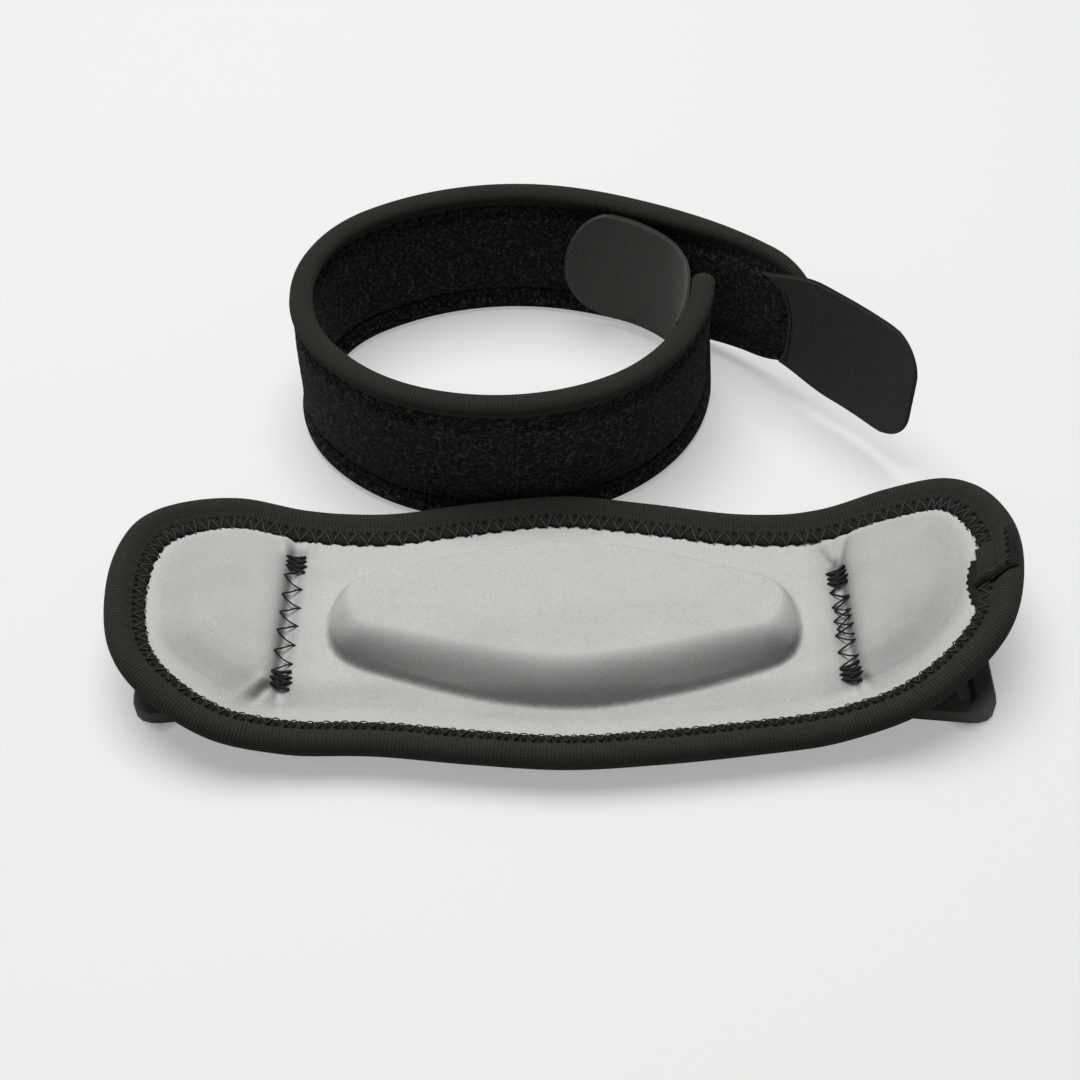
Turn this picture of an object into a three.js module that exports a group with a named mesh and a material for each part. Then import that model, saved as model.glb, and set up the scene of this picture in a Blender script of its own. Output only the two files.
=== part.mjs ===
import * as THREE from 'three';

// Tennis elbow strap, laid out loose: a padded cuff on its plastic plate, and the strap on edge behind it.
// Sizes are in millimetres, +Z is up, and both groups rest on the plane z = 0.

// Room left between neighbouring pieces, and between the strap and the cuff that it stands behind
const CLEARANCE = 0.3;
const STRAP_TO_CUFF_GAP = 0.6;

// Plastic plate under the cuff, with a slot at each end for the strap
const PLATE_LENGTH = 156.4;
const PLATE_END_DEPTH = 38;
const PLATE_WAIST_DEPTH = 28;
const PLATE_THICKNESS = 2.8;
const PLATE_CORNER_RADIUS = 5;
const PLATE_EDGE_BEVEL = 0.4;
const PLATE_END_BAR = 4;
const PLATE_FLARE_LENGTH = 50;
const PLATE_SHIFT_BACK = 1.1;
const SLOT_WIDTH = 2.8;
const SLOT_LENGTH = 31;

// Cuff: foam, lining and the folded binding that closes their edge
const CUFF_LENGTH = 166;
const CUFF_DEPTH = 63.2;
const LINING_THICKNESS = 1;
const FOAM_THICKNESS = 1;
const CUFF_PUFF = 0.5;
const SEAM_SPACING = 101.5;
const ANCHOR_WIDTH = 11;
const ANCHOR_DEPTH = 31;
const ANCHOR_THICKNESS = 1.9;

// Binding, one size for the cuff and the strap: how far it reaches over the face, and its fabric
const BINDING_REACH = 6.4;
const BINDING_FABRIC = 1;
const BINDING_BEAD = 2.2;
const BINDING_END_WIDTH = 10.5;
const BINDING_END_OVERHANG = 1.8;
const BINDING_END_FORWARD = 0.75;

// Raised pressure pad under the lining
const LENS_LENGTH = 86.4;
const LENS_DEPTH = 36.4;
const LENS_HEIGHT = 5.2;
const LENS_FRONT_SLOPE = 6.5;
const LENS_BACK_SLOPE = 4.2;
const LENS_FULLNESS = 0.6;
const LENS_COVER_CLEARANCE = 0.6;

// Strap band, on edge, with a smooth tab sewn to the inner side of each end
const BAND_LENGTH = 251.5;
const BAND_HEIGHT = 32;
const BAND_EDGE_THICKNESS = 2.3;
const PILE_RISE = 0.9;
const NEAR_END_RADIUS = 7;
const FAR_END_RADIUS = 13.5;
const TAB_THICKNESS = 1.3;
const TAB_HEIGHT = 27.4;
const TAB_SEAM_RADIUS = 12;
const SHORT_TAB_OVERLAP = 8;
const SHORT_TAB_REACH = 40;
const SHORT_TAB_END_RADIUS = 13;
const LONG_TAB_OVERLAP = 4;
const LONG_TAB_REACH = 28;
const LONG_TAB_END_RADIUS = 9;
const FAR_END_LIFT = 4;
const FAR_END_NARROWING = 0.14;
const FAR_LIFT_START = 190;
const FAR_LIFT_LENGTH = 56;
const NEAR_END_X = 29.8;
const NEAR_END_HEADING = -89.4;

// The cuff's outline from the left end to the right one, as shares of half its length and half its depth
const CUFF_SECTIONS = [
  { along: -1, back: 0.1, front: 0.1 },
  { along: -0.973, back: 0.5, front: -0.29 },
  { along: -0.892, back: 0.735, front: -0.563 },
  { along: -0.753, back: 0.883, front: -0.826 },
  { along: -0.596, back: 0.865, front: -0.905 },
  { along: -0.404, back: 0.85, front: -0.91 },
  { along: -0.199, back: 0.94, front: -0.965 },
  { along: 0, back: 1, front: -1 },
  { along: 0.199, back: 0.937, front: -0.965 },
  { along: 0.404, back: 0.851, front: -0.9 },
  { along: 0.596, back: 0.861, front: -0.82 },
  { along: 0.753, back: 0.915, front: -0.693 },
  { along: 0.886, back: 0.873, front: -0.44 },
  { along: 0.967, back: 0.652, front: -0.114 },
  { along: 1, back: 0.28, front: 0.28 },
];

// The binding's section from its stitched edge over the bead to the fold, in shares of the reach, the
// bead's width and half the thickness; the inside follows as the walls of the channel
const BINDING_OUTSIDE = [
  { reach: 1, bead: 0, height: 0.92 },
  { reach: 0, bead: 1, height: 1 },
  { reach: 0, bead: 0.27, height: 0.66 },
];
const BINDING_CHANNEL_MOUTH = 0.9;

// How each end of the cuff bends up off the plate: where the bend starts as a share of half the
// length, how steep it gets, and how softly it starts
const CUFF_BENDS = {
  left: { start: 0.52, slope: 0.35, softness: 14 },
  right: { start: 0.5, slope: 0.48, softness: 16 },
};

// The band's line on the ground from the near end round to the far end: each arc's share of the
// length and its turn in degrees, then the same for the tabs beyond the two ends
const BAND_ARCS = [
  { share: 0.114, turn: -43 },
  { share: 0.08, turn: -28 },
  { share: 0.12, turn: -36 },
  { share: 0.096, turn: -36 },
  { share: 0.096, turn: -48 },
  { share: 0.088, turn: -47 },
  { share: 0.176, turn: -45 },
  { share: 0.167, turn: -30 },
  { share: 0.063, turn: 0 },
];
const LONG_TAB_ARCS = [
  { share: 0.25, turn: 0 },
  { share: 0.75, turn: -12 },
];
const SHORT_TAB_ARCS = [
  { share: 0.32, turn: 41 },
  { share: 0.35, turn: 28 },
  { share: 0.33, turn: 46 },
];

// How finely the curved pieces are faceted
const CUFF_BINDING_STEPS = 80;
const CUFF_ANGLES = 64;
const LENS_SHARES = [1, 0.9, 0.76, 0.5];
const LENS_STEPS = [0, 0.14, 0.38, 0.68];
const STRAP_BINDING_STEPS = 108;
const BAND_STEPS = 60;
const TAB_STEPS = 12;
const TAB_ROWS = 8;

// Heights in the cuff's own thickness, measured from the middle of its binding
const STACK_HALF = (FOAM_THICKNESS + LINING_THICKNESS + CLEARANCE) / 2;
const CHANNEL_HALF = STACK_HALF + CLEARANCE;
const LINING_UNDER = STACK_HALF - LINING_THICKNESS;
const FOAM_TOP = LINING_UNDER - CLEARANCE;
const FOAM_EDGE_INSET = BINDING_BEAD + CLEARANCE;
const CUFF_MIDDLE_Z = PLATE_THICKNESS + CLEARANCE + ANCHOR_THICKNESS + CLEARANCE + CUFF_PUFF + STACK_HALF;

const FABRIC_BLACK = { color: 0x1d1d1c, roughness: 0.95, metalness: 0 };
const PILE_BLACK = { color: 0x141414, roughness: 1, metalness: 0 };
const TAB_GREY = { color: 0x2b2b2a, roughness: 0.85, metalness: 0 };
const LINING_GREY = { color: 0xbdbdbb, roughness: 0.95, metalness: 0 };
const FOAM_GREY = { color: 0x3a3a3a, roughness: 0.9, metalness: 0 };
const PLASTIC_BLACK = { color: 0x262625, roughness: 0.5, metalness: 0 };

function namedMesh(name, geometry, finish) {
  const mesh = new THREE.Mesh(geometry, new THREE.MeshStandardMaterial(finish));
  mesh.name = name;
  return mesh;
}

function smoothStep(value) {
  const t = THREE.MathUtils.clamp(value, 0, 1);
  return t * t * (3 - 2 * t);
}

// A closed mesh from its corner points and its faces of three or four corner numbers
function geometryFrom(points, faces) {
  const index = [];
  for (const face of faces) {
    index.push(face[0], face[1], face[2]);
    if (face.length === 4) {
      index.push(face[0], face[2], face[3]);
    }
  }
  const geometry = new THREE.BufferGeometry();
  geometry.setFromPoints(points);
  geometry.setIndex(index);
  geometry.computeVertexNormals();
  return geometry;
}

// The same face on the lower side of a sheet, turned over and split along the same diagonal
function turnedOver(face, offset) {
  const [first, ...rest] = face;
  return [first, ...rest.reverse()].map((corner) => corner + offset);
}

// A section carried once round a closed loop: place(station, corner) gives each corner in space
function closedSweep(stations, corners, place) {
  const points = [];
  const faces = [];
  for (let i = 0; i < stations; i += 1) {
    for (let j = 0; j < corners; j += 1) {
      points.push(place(i, j));
      const nextI = ((i + 1) % stations) * corners;
      const nextJ = (j + 1) % corners;
      faces.push([i * corners + j, nextI + j, nextI + nextJ, i * corners + nextJ]);
    }
  }
  return geometryFrom(points, faces);
}

// A sheet between two faces over nested loops, the outermost first and the last one shrunk to a point.
// loops[k][j] is a plan point, and place(point, side) puts it on the upper (1) or lower (-1) face.
function loopSlab(loops, centre, place) {
  const count = loops[0].length;
  const points = [];
  const faces = [];
  const faceSize = loops.length * count + 1;
  for (const side of [1, -1]) {
    for (const loop of loops) {
      for (const point of loop) {
        points.push(place(point, side));
      }
    }
    points.push(place(centre, side));
  }
  for (let j = 0; j < count; j += 1) {
    const next = (j + 1) % count;
    for (let k = 0; k + 1 < loops.length; k += 1) {
      const outer = k * count;
      const inner = (k + 1) * count;
      const upper = [outer + j, inner + j, inner + next, outer + next];
      faces.push(upper, turnedOver(upper, faceSize));
    }
    const last = (loops.length - 1) * count;
    faces.push([last + next, last + j, faceSize - 1]);
    faces.push([faceSize + last + j, faceSize + last + next, 2 * faceSize - 1]);
    faces.push([j, next, faceSize + next, faceSize + j]);
  }
  return geometryFrom(points, faces);
}

// A sheet over a grid of columns and rows, closed round its edge; place(column, row, side) as above
function gridSlab(columns, rows, place) {
  const points = [];
  const faces = [];
  const faceSize = columns * rows;
  for (const side of [1, -1]) {
    for (let i = 0; i < columns; i += 1) {
      for (let j = 0; j < rows; j += 1) {
        points.push(place(i, j, side));
      }
    }
  }
  const at = (i, j) => i * rows + j;
  for (let i = 0; i + 1 < columns; i += 1) {
    for (let j = 0; j + 1 < rows; j += 1) {
      const upper = [at(i, j), at(i + 1, j), at(i + 1, j + 1), at(i, j + 1)];
      faces.push(upper, turnedOver(upper, faceSize));
    }
    const low = [at(i, 0), at(i + 1, 0)];
    const high = [at(i + 1, rows - 1), at(i, rows - 1)];
    faces.push([low[0], faceSize + low[0], faceSize + low[1], low[1]]);
    faces.push([high[0], faceSize + high[0], faceSize + high[1], high[1]]);
  }
  for (let j = 0; j + 1 < rows; j += 1) {
    const end = columns - 1;
    faces.push([at(0, j), at(0, j + 1), faceSize + at(0, j + 1), faceSize + at(0, j)]);
    faces.push([at(end, j), faceSize + at(end, j), faceSize + at(end, j + 1), at(end, j + 1)]);
  }
  return geometryFrom(points, faces);
}

// The folded binding's section: depth is measured inward from the outer edge, height across the wall
const BINDING_SECTION = bindingSection();

function bindingSection() {
  const upper = BINDING_OUTSIDE.map(({ reach, bead, height }) => ({
    depth: reach * BINDING_REACH + bead * BINDING_BEAD,
    height: height * (CHANNEL_HALF + BINDING_FABRIC),
  }));
  const mouth = BINDING_CHANNEL_MOUTH * BINDING_BEAD;
  const inner = [
    { depth: BINDING_REACH, height: -CHANNEL_HALF },
    { depth: mouth, height: -CHANNEL_HALF },
    { depth: BINDING_FABRIC, height: 0 },
    { depth: mouth, height: CHANNEL_HALF },
    { depth: BINDING_REACH, height: CHANNEL_HALF },
  ];
  const lower = upper.map(({ depth, height }) => ({ depth, height: -height })).reverse();
  return [...upper, { depth: 0, height: 0 }, ...lower, ...inner];
}

// Inward directions of a closed loop that runs clockwise, by its neighbours
function inwardNormals(loop) {
  return loop.map((point, i) => {
    const before = loop[(i + loop.length - 1) % loop.length];
    const after = loop[(i + 1) % loop.length];
    const tangent = new THREE.Vector2().subVectors(after, before).normalize();
    return new THREE.Vector2(tangent.y, -tangent.x);
  });
}

function insetLoop(loop, distance) {
  const normals = inwardNormals(loop);
  return loop.map((point, i) => point.clone().addScaledVector(normals[i], distance));
}

// The cuff's outline as a clockwise loop: along the back from the left end, then along the front
function cuffOutline(steps) {
  const halfLength = CUFF_LENGTH / 2;
  const halfDepth = CUFF_DEPTH / 2;
  const inner = CUFF_SECTIONS.slice(1, -1);
  const backPoints = CUFF_SECTIONS.map(({ along, back }) => [along, back]);
  const frontPoints = inner.map(({ along, front }) => [along, front]).reverse();
  const points = [...backPoints, ...frontPoints].map(
    ([along, across]) => new THREE.Vector3(along * halfLength, across * halfDepth, 0),
  );
  const curve = new THREE.CatmullRomCurve3(points, true, 'catmullrom', 0.5);
  curve.arcLengthDivisions = 12 * steps;
  return curve.getSpacedPoints(steps).slice(0, -1).map((point) => new THREE.Vector2(point.x, point.y));
}

// Where a loop crosses a given place along the cuff, on its back edge or its front edge
function edgeAcross(loop, along, isBack) {
  const found = [];
  loop.forEach((from, i) => {
    const to = loop[(i + 1) % loop.length];
    if ((from.x - along) * (to.x - along) <= 0 && from.x !== to.x) {
      found.push(THREE.MathUtils.mapLinear(along, from.x, to.x, from.y, to.y));
    }
  });
  return isBack ? Math.max(...found) : Math.min(...found);
}

// A point of the cuff, at its plan position and at a height across its bent thickness
function cuffPoint(along, across, height) {
  const bend = along < 0 ? CUFF_BENDS.left : CUFF_BENDS.right;
  const past = Math.max(0, Math.abs(along) - (bend.start * CUFF_LENGTH) / 2);
  const rise = bend.slope * (Math.hypot(past, bend.softness) - bend.softness);
  const grade = (Math.sign(along) * bend.slope * past) / Math.hypot(past, bend.softness);
  const tilt = Math.atan(grade);
  return new THREE.Vector3(
    along - height * Math.sin(tilt),
    across,
    CUFF_MIDDLE_Z + rise + height * Math.cos(tilt),
  );
}

const OUTLINE = cuffOutline(CUFF_BINDING_STEPS);
const FINE_OUTLINE = cuffOutline(5 * CUFF_BINDING_STEPS);

function distanceFromEdge(along, across) {
  const here = new THREE.Vector2(along, across);
  return Math.min(...FINE_OUTLINE.map((point) => point.distanceTo(here)));
}

// How far the cuff swells past its pinched edge
function puffAt(along, across) {
  const pinched = BINDING_REACH + BINDING_BEAD;
  return CUFF_PUFF * smoothStep((distanceFromEdge(along, across) - pinched) / BINDING_REACH);
}

// The lens outline is full in its middle and narrows to round ends
function lensOutlinePoint(angle, share) {
  const along = Math.cos(angle);
  const across = Math.sign(Math.sin(angle)) * Math.max(0, 1 - along * along) ** LENS_FULLNESS;
  return new THREE.Vector2((share * along * LENS_LENGTH) / 2, (share * across * LENS_DEPTH) / 2);
}

// Height of the lens above the flat cuff: a steep side all round and a nearly flat top
function lensRise(along, across) {
  const u = Math.abs(along) / (LENS_LENGTH / 2);
  const v = Math.abs(across) / (LENS_DEPTH / 2);
  const power = 1 / LENS_FULLNESS;
  const level = u * u + v ** power;
  const gradient = Math.hypot((4 * u) / LENS_LENGTH, (2 * power * v ** (power - 1)) / LENS_DEPTH);
  const fromFoot = (1 - level) / Math.max(gradient, 0.01);
  const slope = across < 0
    ? THREE.MathUtils.lerp(LENS_BACK_SLOPE, LENS_FRONT_SLOPE, v)
    : LENS_BACK_SLOPE;
  return LENS_HEIGHT * smoothStep(fromFoot / slope);
}

function evenAngles(count) {
  return Array.from({ length: count }, (_, j) => Math.PI - (2 * Math.PI * j) / count);
}

// Loops that pass from the cuff's inset edge in to the foot of the lens, by matching places along both
function loopsToLens(angles) {
  const edge = insetLoop(FINE_OUTLINE, FOAM_EDGE_INSET);
  const left = edge.reduce((low, point) => (point.x < low.x ? point : low));
  const right = edge.reduce((high, point) => (point.x > high.x ? point : high));
  return LENS_STEPS.map((step) => angles.map((angle) => {
    const share = (1 - Math.cos(angle)) / 2;
    const along = THREE.MathUtils.lerp(right.x, left.x, share);
    const isTip = Math.abs(Math.sin(angle)) < 1e-6;
    const tip = share > 0.5 ? left.y : right.y;
    const across = isTip ? tip : edgeAcross(edge, along, Math.sin(angle) > 0);
    return new THREE.Vector2(along, across).lerp(lensOutlinePoint(angle, 1), step);
  }));
}

function lensLoops(angles, shares) {
  return shares.map((share) => angles.map((angle) => lensOutlinePoint(angle, share)));
}

function cuffLining() {
  const angles = evenAngles(CUFF_ANGLES);
  const loops = [...loopsToLens(angles), ...lensLoops(angles, LENS_SHARES)];
  const place = (point, side) => {
    const top = STACK_HALF + puffAt(point.x, point.y) + lensRise(point.x, point.y);
    return cuffPoint(point.x, point.y, side > 0 ? top : top - LINING_THICKNESS);
  };
  return loopSlab(loops, new THREE.Vector2(), place);
}

function cuffFoam() {
  const angles = evenAngles(CUFF_ANGLES);
  const loops = [...loopsToLens(angles), ...lensLoops(angles, LENS_SHARES.slice(0, 1))];
  const place = (point, side) => {
    const puff = puffAt(point.x, point.y);
    return cuffPoint(point.x, point.y, side > 0 ? FOAM_TOP + puff : -STACK_HALF - puff);
  };
  return loopSlab(loops, new THREE.Vector2(), place);
}

function pressurePad() {
  const loops = lensLoops(evenAngles(CUFF_ANGLES), LENS_SHARES.slice(1));
  const bottom = FOAM_TOP + CUFF_PUFF + CLEARANCE;
  const place = (point, side) => {
    const lens = Math.max(CLEARANCE, lensRise(point.x, point.y) - LENS_COVER_CLEARANCE);
    return cuffPoint(point.x, point.y, side > 0 ? bottom + lens : bottom);
  };
  return loopSlab(loops, new THREE.Vector2(), place);
}

function cuffBinding() {
  const normals = inwardNormals(OUTLINE);
  const place = (i, j) => {
    const { depth, height } = BINDING_SECTION[j];
    const plan = OUTLINE[i].clone().addScaledVector(normals[i], depth);
    return cuffPoint(plan.x, plan.y, height);
  };
  return closedSweep(OUTLINE.length, BINDING_SECTION.length, place);
}

// The binding's loose end, folded over the finished binding at the right end of the cuff
function bindingEnd() {
  const tip = FINE_OUTLINE.reduce((high, point) => (point.x > high.x ? point : high));
  const inner = BINDING_REACH + BINDING_END_OVERHANG;
  const low = CHANNEL_HALF + BINDING_FABRIC + CLEARANCE;
  const columns = 3;
  const rows = 4;
  const place = (i, j, side) => {
    const along = tip.x - THREE.MathUtils.lerp(BINDING_BEAD, inner, i / (columns - 1));
    const across = tip.y - BINDING_END_WIDTH * (BINDING_END_FORWARD - j / (rows - 1));
    return cuffPoint(along, across, side < 0 ? low + BINDING_FABRIC : low);
  };
  return gridSlab(columns, rows, place);
}

// Folded webbing that is sewn under the cuff at a seam and holds it on the plate
function seamAnchor(side) {
  const columns = 5;
  const rows = 2;
  const middle = (side * SEAM_SPACING) / 2;
  const place = (i, j, face) => {
    const along = middle + ANCHOR_WIDTH * (i / (columns - 1) - 0.5);
    const across = PLATE_SHIFT_BACK + ANCHOR_DEPTH * (j / (rows - 1) - 0.5);
    if (face < 0) {
      return new THREE.Vector3(along, across, PLATE_THICKNESS + CLEARANCE);
    }
    return cuffPoint(along, across, -STACK_HALF - CUFF_PUFF - CLEARANCE);
  };
  return gridSlab(columns, rows, place);
}

function roundedCorner(shape, corner, before, after, radius) {
  const towards = (end) => new THREE.Vector2().subVectors(end, corner).setLength(radius).add(corner);
  const start = towards(before);
  const finish = towards(after);
  shape.lineTo(start.x, start.y);
  shape.quadraticCurveTo(corner.x, corner.y, finish.x, finish.y);
}

// The plate flares from its waist to the slotted ends
function plateShape() {
  const end = PLATE_LENGTH / 2 - PLATE_EDGE_BEVEL;
  const half = PLATE_END_DEPTH / 2 - PLATE_EDGE_BEVEL;
  const waist = PLATE_WAIST_DEPTH / 2 - PLATE_EDGE_BEVEL;
  const flare = end - PLATE_FLARE_LENGTH;
  const corners = [
    new THREE.Vector2(end, half),
    new THREE.Vector2(flare, waist),
    new THREE.Vector2(-flare, waist),
    new THREE.Vector2(-end, half),
    new THREE.Vector2(-end, -half),
    new THREE.Vector2(-flare, -waist),
    new THREE.Vector2(flare, -waist),
    new THREE.Vector2(end, -half),
  ];
  const shape = new THREE.Shape();
  shape.moveTo(end, 0);
  corners.forEach((corner, i) => {
    const before = corners[(i + corners.length - 1) % corners.length];
    const after = corners[(i + 1) % corners.length];
    roundedCorner(shape, corner, before, after, PLATE_CORNER_RADIUS);
  });
  shape.closePath();
  for (const side of [-1, 1]) {
    shape.holes.push(slotPath(side * (PLATE_LENGTH / 2 - PLATE_END_BAR - SLOT_WIDTH / 2)));
  }
  return shape;
}

// One slot, a bevel's width larger than the finished hole
function slotPath(middle) {
  const radius = SLOT_WIDTH / 2 + PLATE_EDGE_BEVEL;
  const straight = SLOT_LENGTH / 2 - SLOT_WIDTH / 2;
  const path = new THREE.Path();
  path.absarc(middle, straight, radius, 0, Math.PI, false);
  path.absarc(middle, -straight, radius, Math.PI, 2 * Math.PI, false);
  path.closePath();
  return path;
}

function plate() {
  const geometry = new THREE.ExtrudeGeometry(plateShape(), {
    depth: PLATE_THICKNESS - 2 * PLATE_EDGE_BEVEL,
    bevelEnabled: true,
    bevelThickness: PLATE_EDGE_BEVEL,
    bevelSize: PLATE_EDGE_BEVEL,
    bevelSegments: 1,
    curveSegments: 5,
  });
  geometry.translate(0, PLATE_SHIFT_BACK, PLATE_EDGE_BEVEL);
  return geometry;
}

// Follow a chain of arcs on the ground from a start and a heading, and go straight on past its end
function followArcs(arcs, distance, start, heading) {
  const spot = start.clone();
  let angle = heading;
  let left = distance;
  for (const { length, turn } of arcs) {
    const step = Math.min(left, length);
    const bend = (turn * step) / length;
    const chord = Math.abs(bend) > 1e-6 ? (2 * step * Math.sin(bend / 2)) / bend : step;
    spot.x += chord * Math.cos(angle + bend / 2);
    spot.y += chord * Math.sin(angle + bend / 2);
    angle += bend;
    left -= step;
  }
  spot.x += left * Math.cos(angle);
  spot.y += left * Math.sin(angle);
  return { spot, angle };
}

function arcLengths(arcs, reach) {
  return arcs.map(({ share, turn }) => ({ length: share * reach, turn: THREE.MathUtils.degToRad(turn) }));
}

const FORWARD_ARCS = [...arcLengths(BAND_ARCS, BAND_LENGTH), ...arcLengths(LONG_TAB_ARCS, LONG_TAB_REACH)];
const BACKWARD_ARCS = arcLengths(SHORT_TAB_ARCS, SHORT_TAB_REACH);

// How far the far end has come up off the ground, from 0 to 1
function farShare(along) {
  return smoothStep((along - FAR_LIFT_START) / FAR_LIFT_LENGTH);
}

// A point of the strap: how far along its line from the near end, how high, and how far outward
function strapPoint(along, height, outward) {
  const heading = THREE.MathUtils.degToRad(NEAR_END_HEADING);
  const origin = new THREE.Vector2();
  const { spot, angle } = along < 0
    ? followArcs(BACKWARD_ARCS, -along, origin, heading + Math.PI)
    : followArcs(FORWARD_ARCS, along, origin, heading);
  const facing = along < 0 ? angle + Math.PI : angle;
  return new THREE.Vector3(
    spot.x - outward * Math.sin(facing),
    spot.y + outward * Math.cos(facing),
    height + FAR_END_LIFT * farShare(along),
  );
}

// The same for the band, which narrows about its middle towards the far end
function bandPoint(along, height, outward) {
  const middle = BAND_HEIGHT / 2;
  const width = 1 - FAR_END_NARROWING * farShare(along);
  return strapPoint(along, middle + (height - middle) * width, outward);
}

// The strap's outline on the flat, clockwise: x along the strap and y its height
function bandOutline(steps) {
  const far = FAR_END_RADIUS;
  const near = NEAR_END_RADIUS;
  const quarter = Math.PI / 2;
  const shape = new THREE.Shape();
  shape.absarc(near, BAND_HEIGHT - near, near, 2 * quarter, quarter, true);
  shape.absarc(BAND_LENGTH - far, BAND_HEIGHT - far, far, quarter, 0, true);
  shape.absarc(BAND_LENGTH - far, far, far, 0, -quarter, true);
  shape.absarc(near, near, near, -quarter, -2 * quarter, true);
  shape.closePath();
  return shape.getSpacedPoints(steps).slice(0, -1);
}

function strapBinding() {
  const outline = bandOutline(STRAP_BINDING_STEPS);
  const normals = inwardNormals(outline);
  const place = (i, j) => {
    const { depth, height } = BINDING_SECTION[j];
    const flat = outline[i].clone().addScaledVector(normals[i], depth);
    return bandPoint(flat.x, flat.y, -height);
  };
  return closedSweep(outline.length, BINDING_SECTION.length, place);
}

// How much an end with rounded corners is cut back at a distance from the nearer long edge
function cornerCutBack(fromEdge, radius) {
  const short = THREE.MathUtils.clamp(radius - fromEdge, 0, radius);
  return radius - Math.sqrt(radius * radius - short * short);
}

// The band: thin where the binding folds over it, and standing level with the binding between its folds
function strapBand() {
  const inset = FOAM_EDGE_INSET;
  const pileFoot = BINDING_REACH + CLEARANCE;
  const pileTop = pileFoot + PILE_RISE;
  const heights = [
    inset,
    pileFoot,
    pileTop,
    BAND_HEIGHT / 2,
    BAND_HEIGHT - pileTop,
    BAND_HEIGHT - pileFoot,
    BAND_HEIGHT - inset,
  ];
  const place = (i, j, side) => {
    const height = heights[j];
    const fromEdge = Math.min(height, BAND_HEIGHT - height) - inset;
    const start = inset + cornerCutBack(fromEdge, NEAR_END_RADIUS - inset);
    const finish = BAND_LENGTH - inset - cornerCutBack(fromEdge, FAR_END_RADIUS - inset);
    const along = THREE.MathUtils.lerp(start, finish, i / BAND_STEPS);
    const fromEnds = Math.min(along - pileFoot, BAND_LENGTH - FAR_END_RADIUS - along) / PILE_RISE;
    const isFace = height > pileFoot + 1e-6 && height < BAND_HEIGHT - pileFoot - 1e-6;
    const rise = isFace ? PILE_RISE * THREE.MathUtils.clamp(fromEnds, 0, 1) : 0;
    return bandPoint(along, height, -side * (BAND_EDGE_THICKNESS / 2 + rise));
  };
  return gridSlab(BAND_STEPS + 1, heights.length, place);
}

// A tab sewn along a curved seam on the inner side: it starts at the seam and ends with round corners
function strapTab(seamAlong, endAlong, endRadius) {
  const direction = Math.sign(endAlong - seamAlong);
  const lowest = (BAND_HEIGHT - TAB_HEIGHT) / 2;
  const nearFace = CHANNEL_HALF + BINDING_FABRIC + CLEARANCE;
  const place = (i, j, side) => {
    const row = (1 - Math.cos((Math.PI * j) / (TAB_ROWS - 1))) / 2;
    const height = lowest + TAB_HEIGHT * row;
    const fromMiddle = Math.min(Math.abs(height - BAND_HEIGHT / 2), TAB_SEAM_RADIUS);
    const seamCut = TAB_SEAM_RADIUS - Math.sqrt(TAB_SEAM_RADIUS ** 2 - fromMiddle ** 2);
    const fromEdge = TAB_HEIGHT * Math.min(row, 1 - row);
    const start = seamAlong - direction * seamCut;
    const finish = endAlong - direction * cornerCutBack(fromEdge, endRadius);
    const along = THREE.MathUtils.lerp(start, finish, i / TAB_STEPS);
    const isInner = side * direction > 0;
    return strapPoint(along, height, -(isInner ? nearFace + TAB_THICKNESS : nearFace));
  };
  return gridSlab(TAB_STEPS + 1, TAB_ROWS, place);
}

// The cuff lies on its plate
const cuff = new THREE.Group();
cuff.add(
  namedMesh('end_plate', plate(), PLASTIC_BLACK),
  namedMesh('anchor_left', seamAnchor(-1), FABRIC_BLACK),
  namedMesh('anchor_right', seamAnchor(1), FABRIC_BLACK),
  namedMesh('pad_foam', cuffFoam(), FOAM_GREY),
  namedMesh('pressure_pad', pressurePad(), FOAM_GREY),
  namedMesh('pad_lining', cuffLining(), LINING_GREY),
  namedMesh('pad_binding', cuffBinding(), FABRIC_BLACK),
  namedMesh('pad_binding_end', bindingEnd(), FABRIC_BLACK),
);

// The strap stands on its edge behind the cuff
const strap = new THREE.Group();
strap.add(
  namedMesh('strap_band', strapBand(), PILE_BLACK),
  namedMesh('strap_binding', strapBinding(), FABRIC_BLACK),
  namedMesh('short_tab', strapTab(SHORT_TAB_OVERLAP, -SHORT_TAB_REACH, SHORT_TAB_END_RADIUS), TAB_GREY),
  namedMesh(
    'long_tab',
    strapTab(BAND_LENGTH - LONG_TAB_OVERLAP, BAND_LENGTH + LONG_TAB_REACH, LONG_TAB_END_RADIUS),
    TAB_GREY,
  ),
);

// Slide the strap up to the cuff: the nearest pair of outer edges decides
function strapBack() {
  const reach = CHANNEL_HALF + BINDING_FABRIC;
  let back = -Infinity;
  for (let along = 0; along < BAND_LENGTH; along += 1) {
    const point = strapPoint(along, 0, reach);
    const x = point.x + NEAR_END_X;
    if (Math.abs(x) < CUFF_LENGTH / 2) {
      back = Math.max(back, edgeAcross(FINE_OUTLINE, x, true) + STRAP_TO_CUFF_GAP - point.y);
    }
  }
  return back;
}
strap.position.set(NEAR_END_X, strapBack(), 0);

// The origin is at the middle of the whole footprint
const model = new THREE.Group();
model.add(cuff, strap);
const box = new THREE.Box3().setFromObject(model, true);
const centre = box.getCenter(new THREE.Vector3());
model.position.set(-centre.x, -centre.y, -box.min.z);

export default model;
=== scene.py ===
import math

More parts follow.
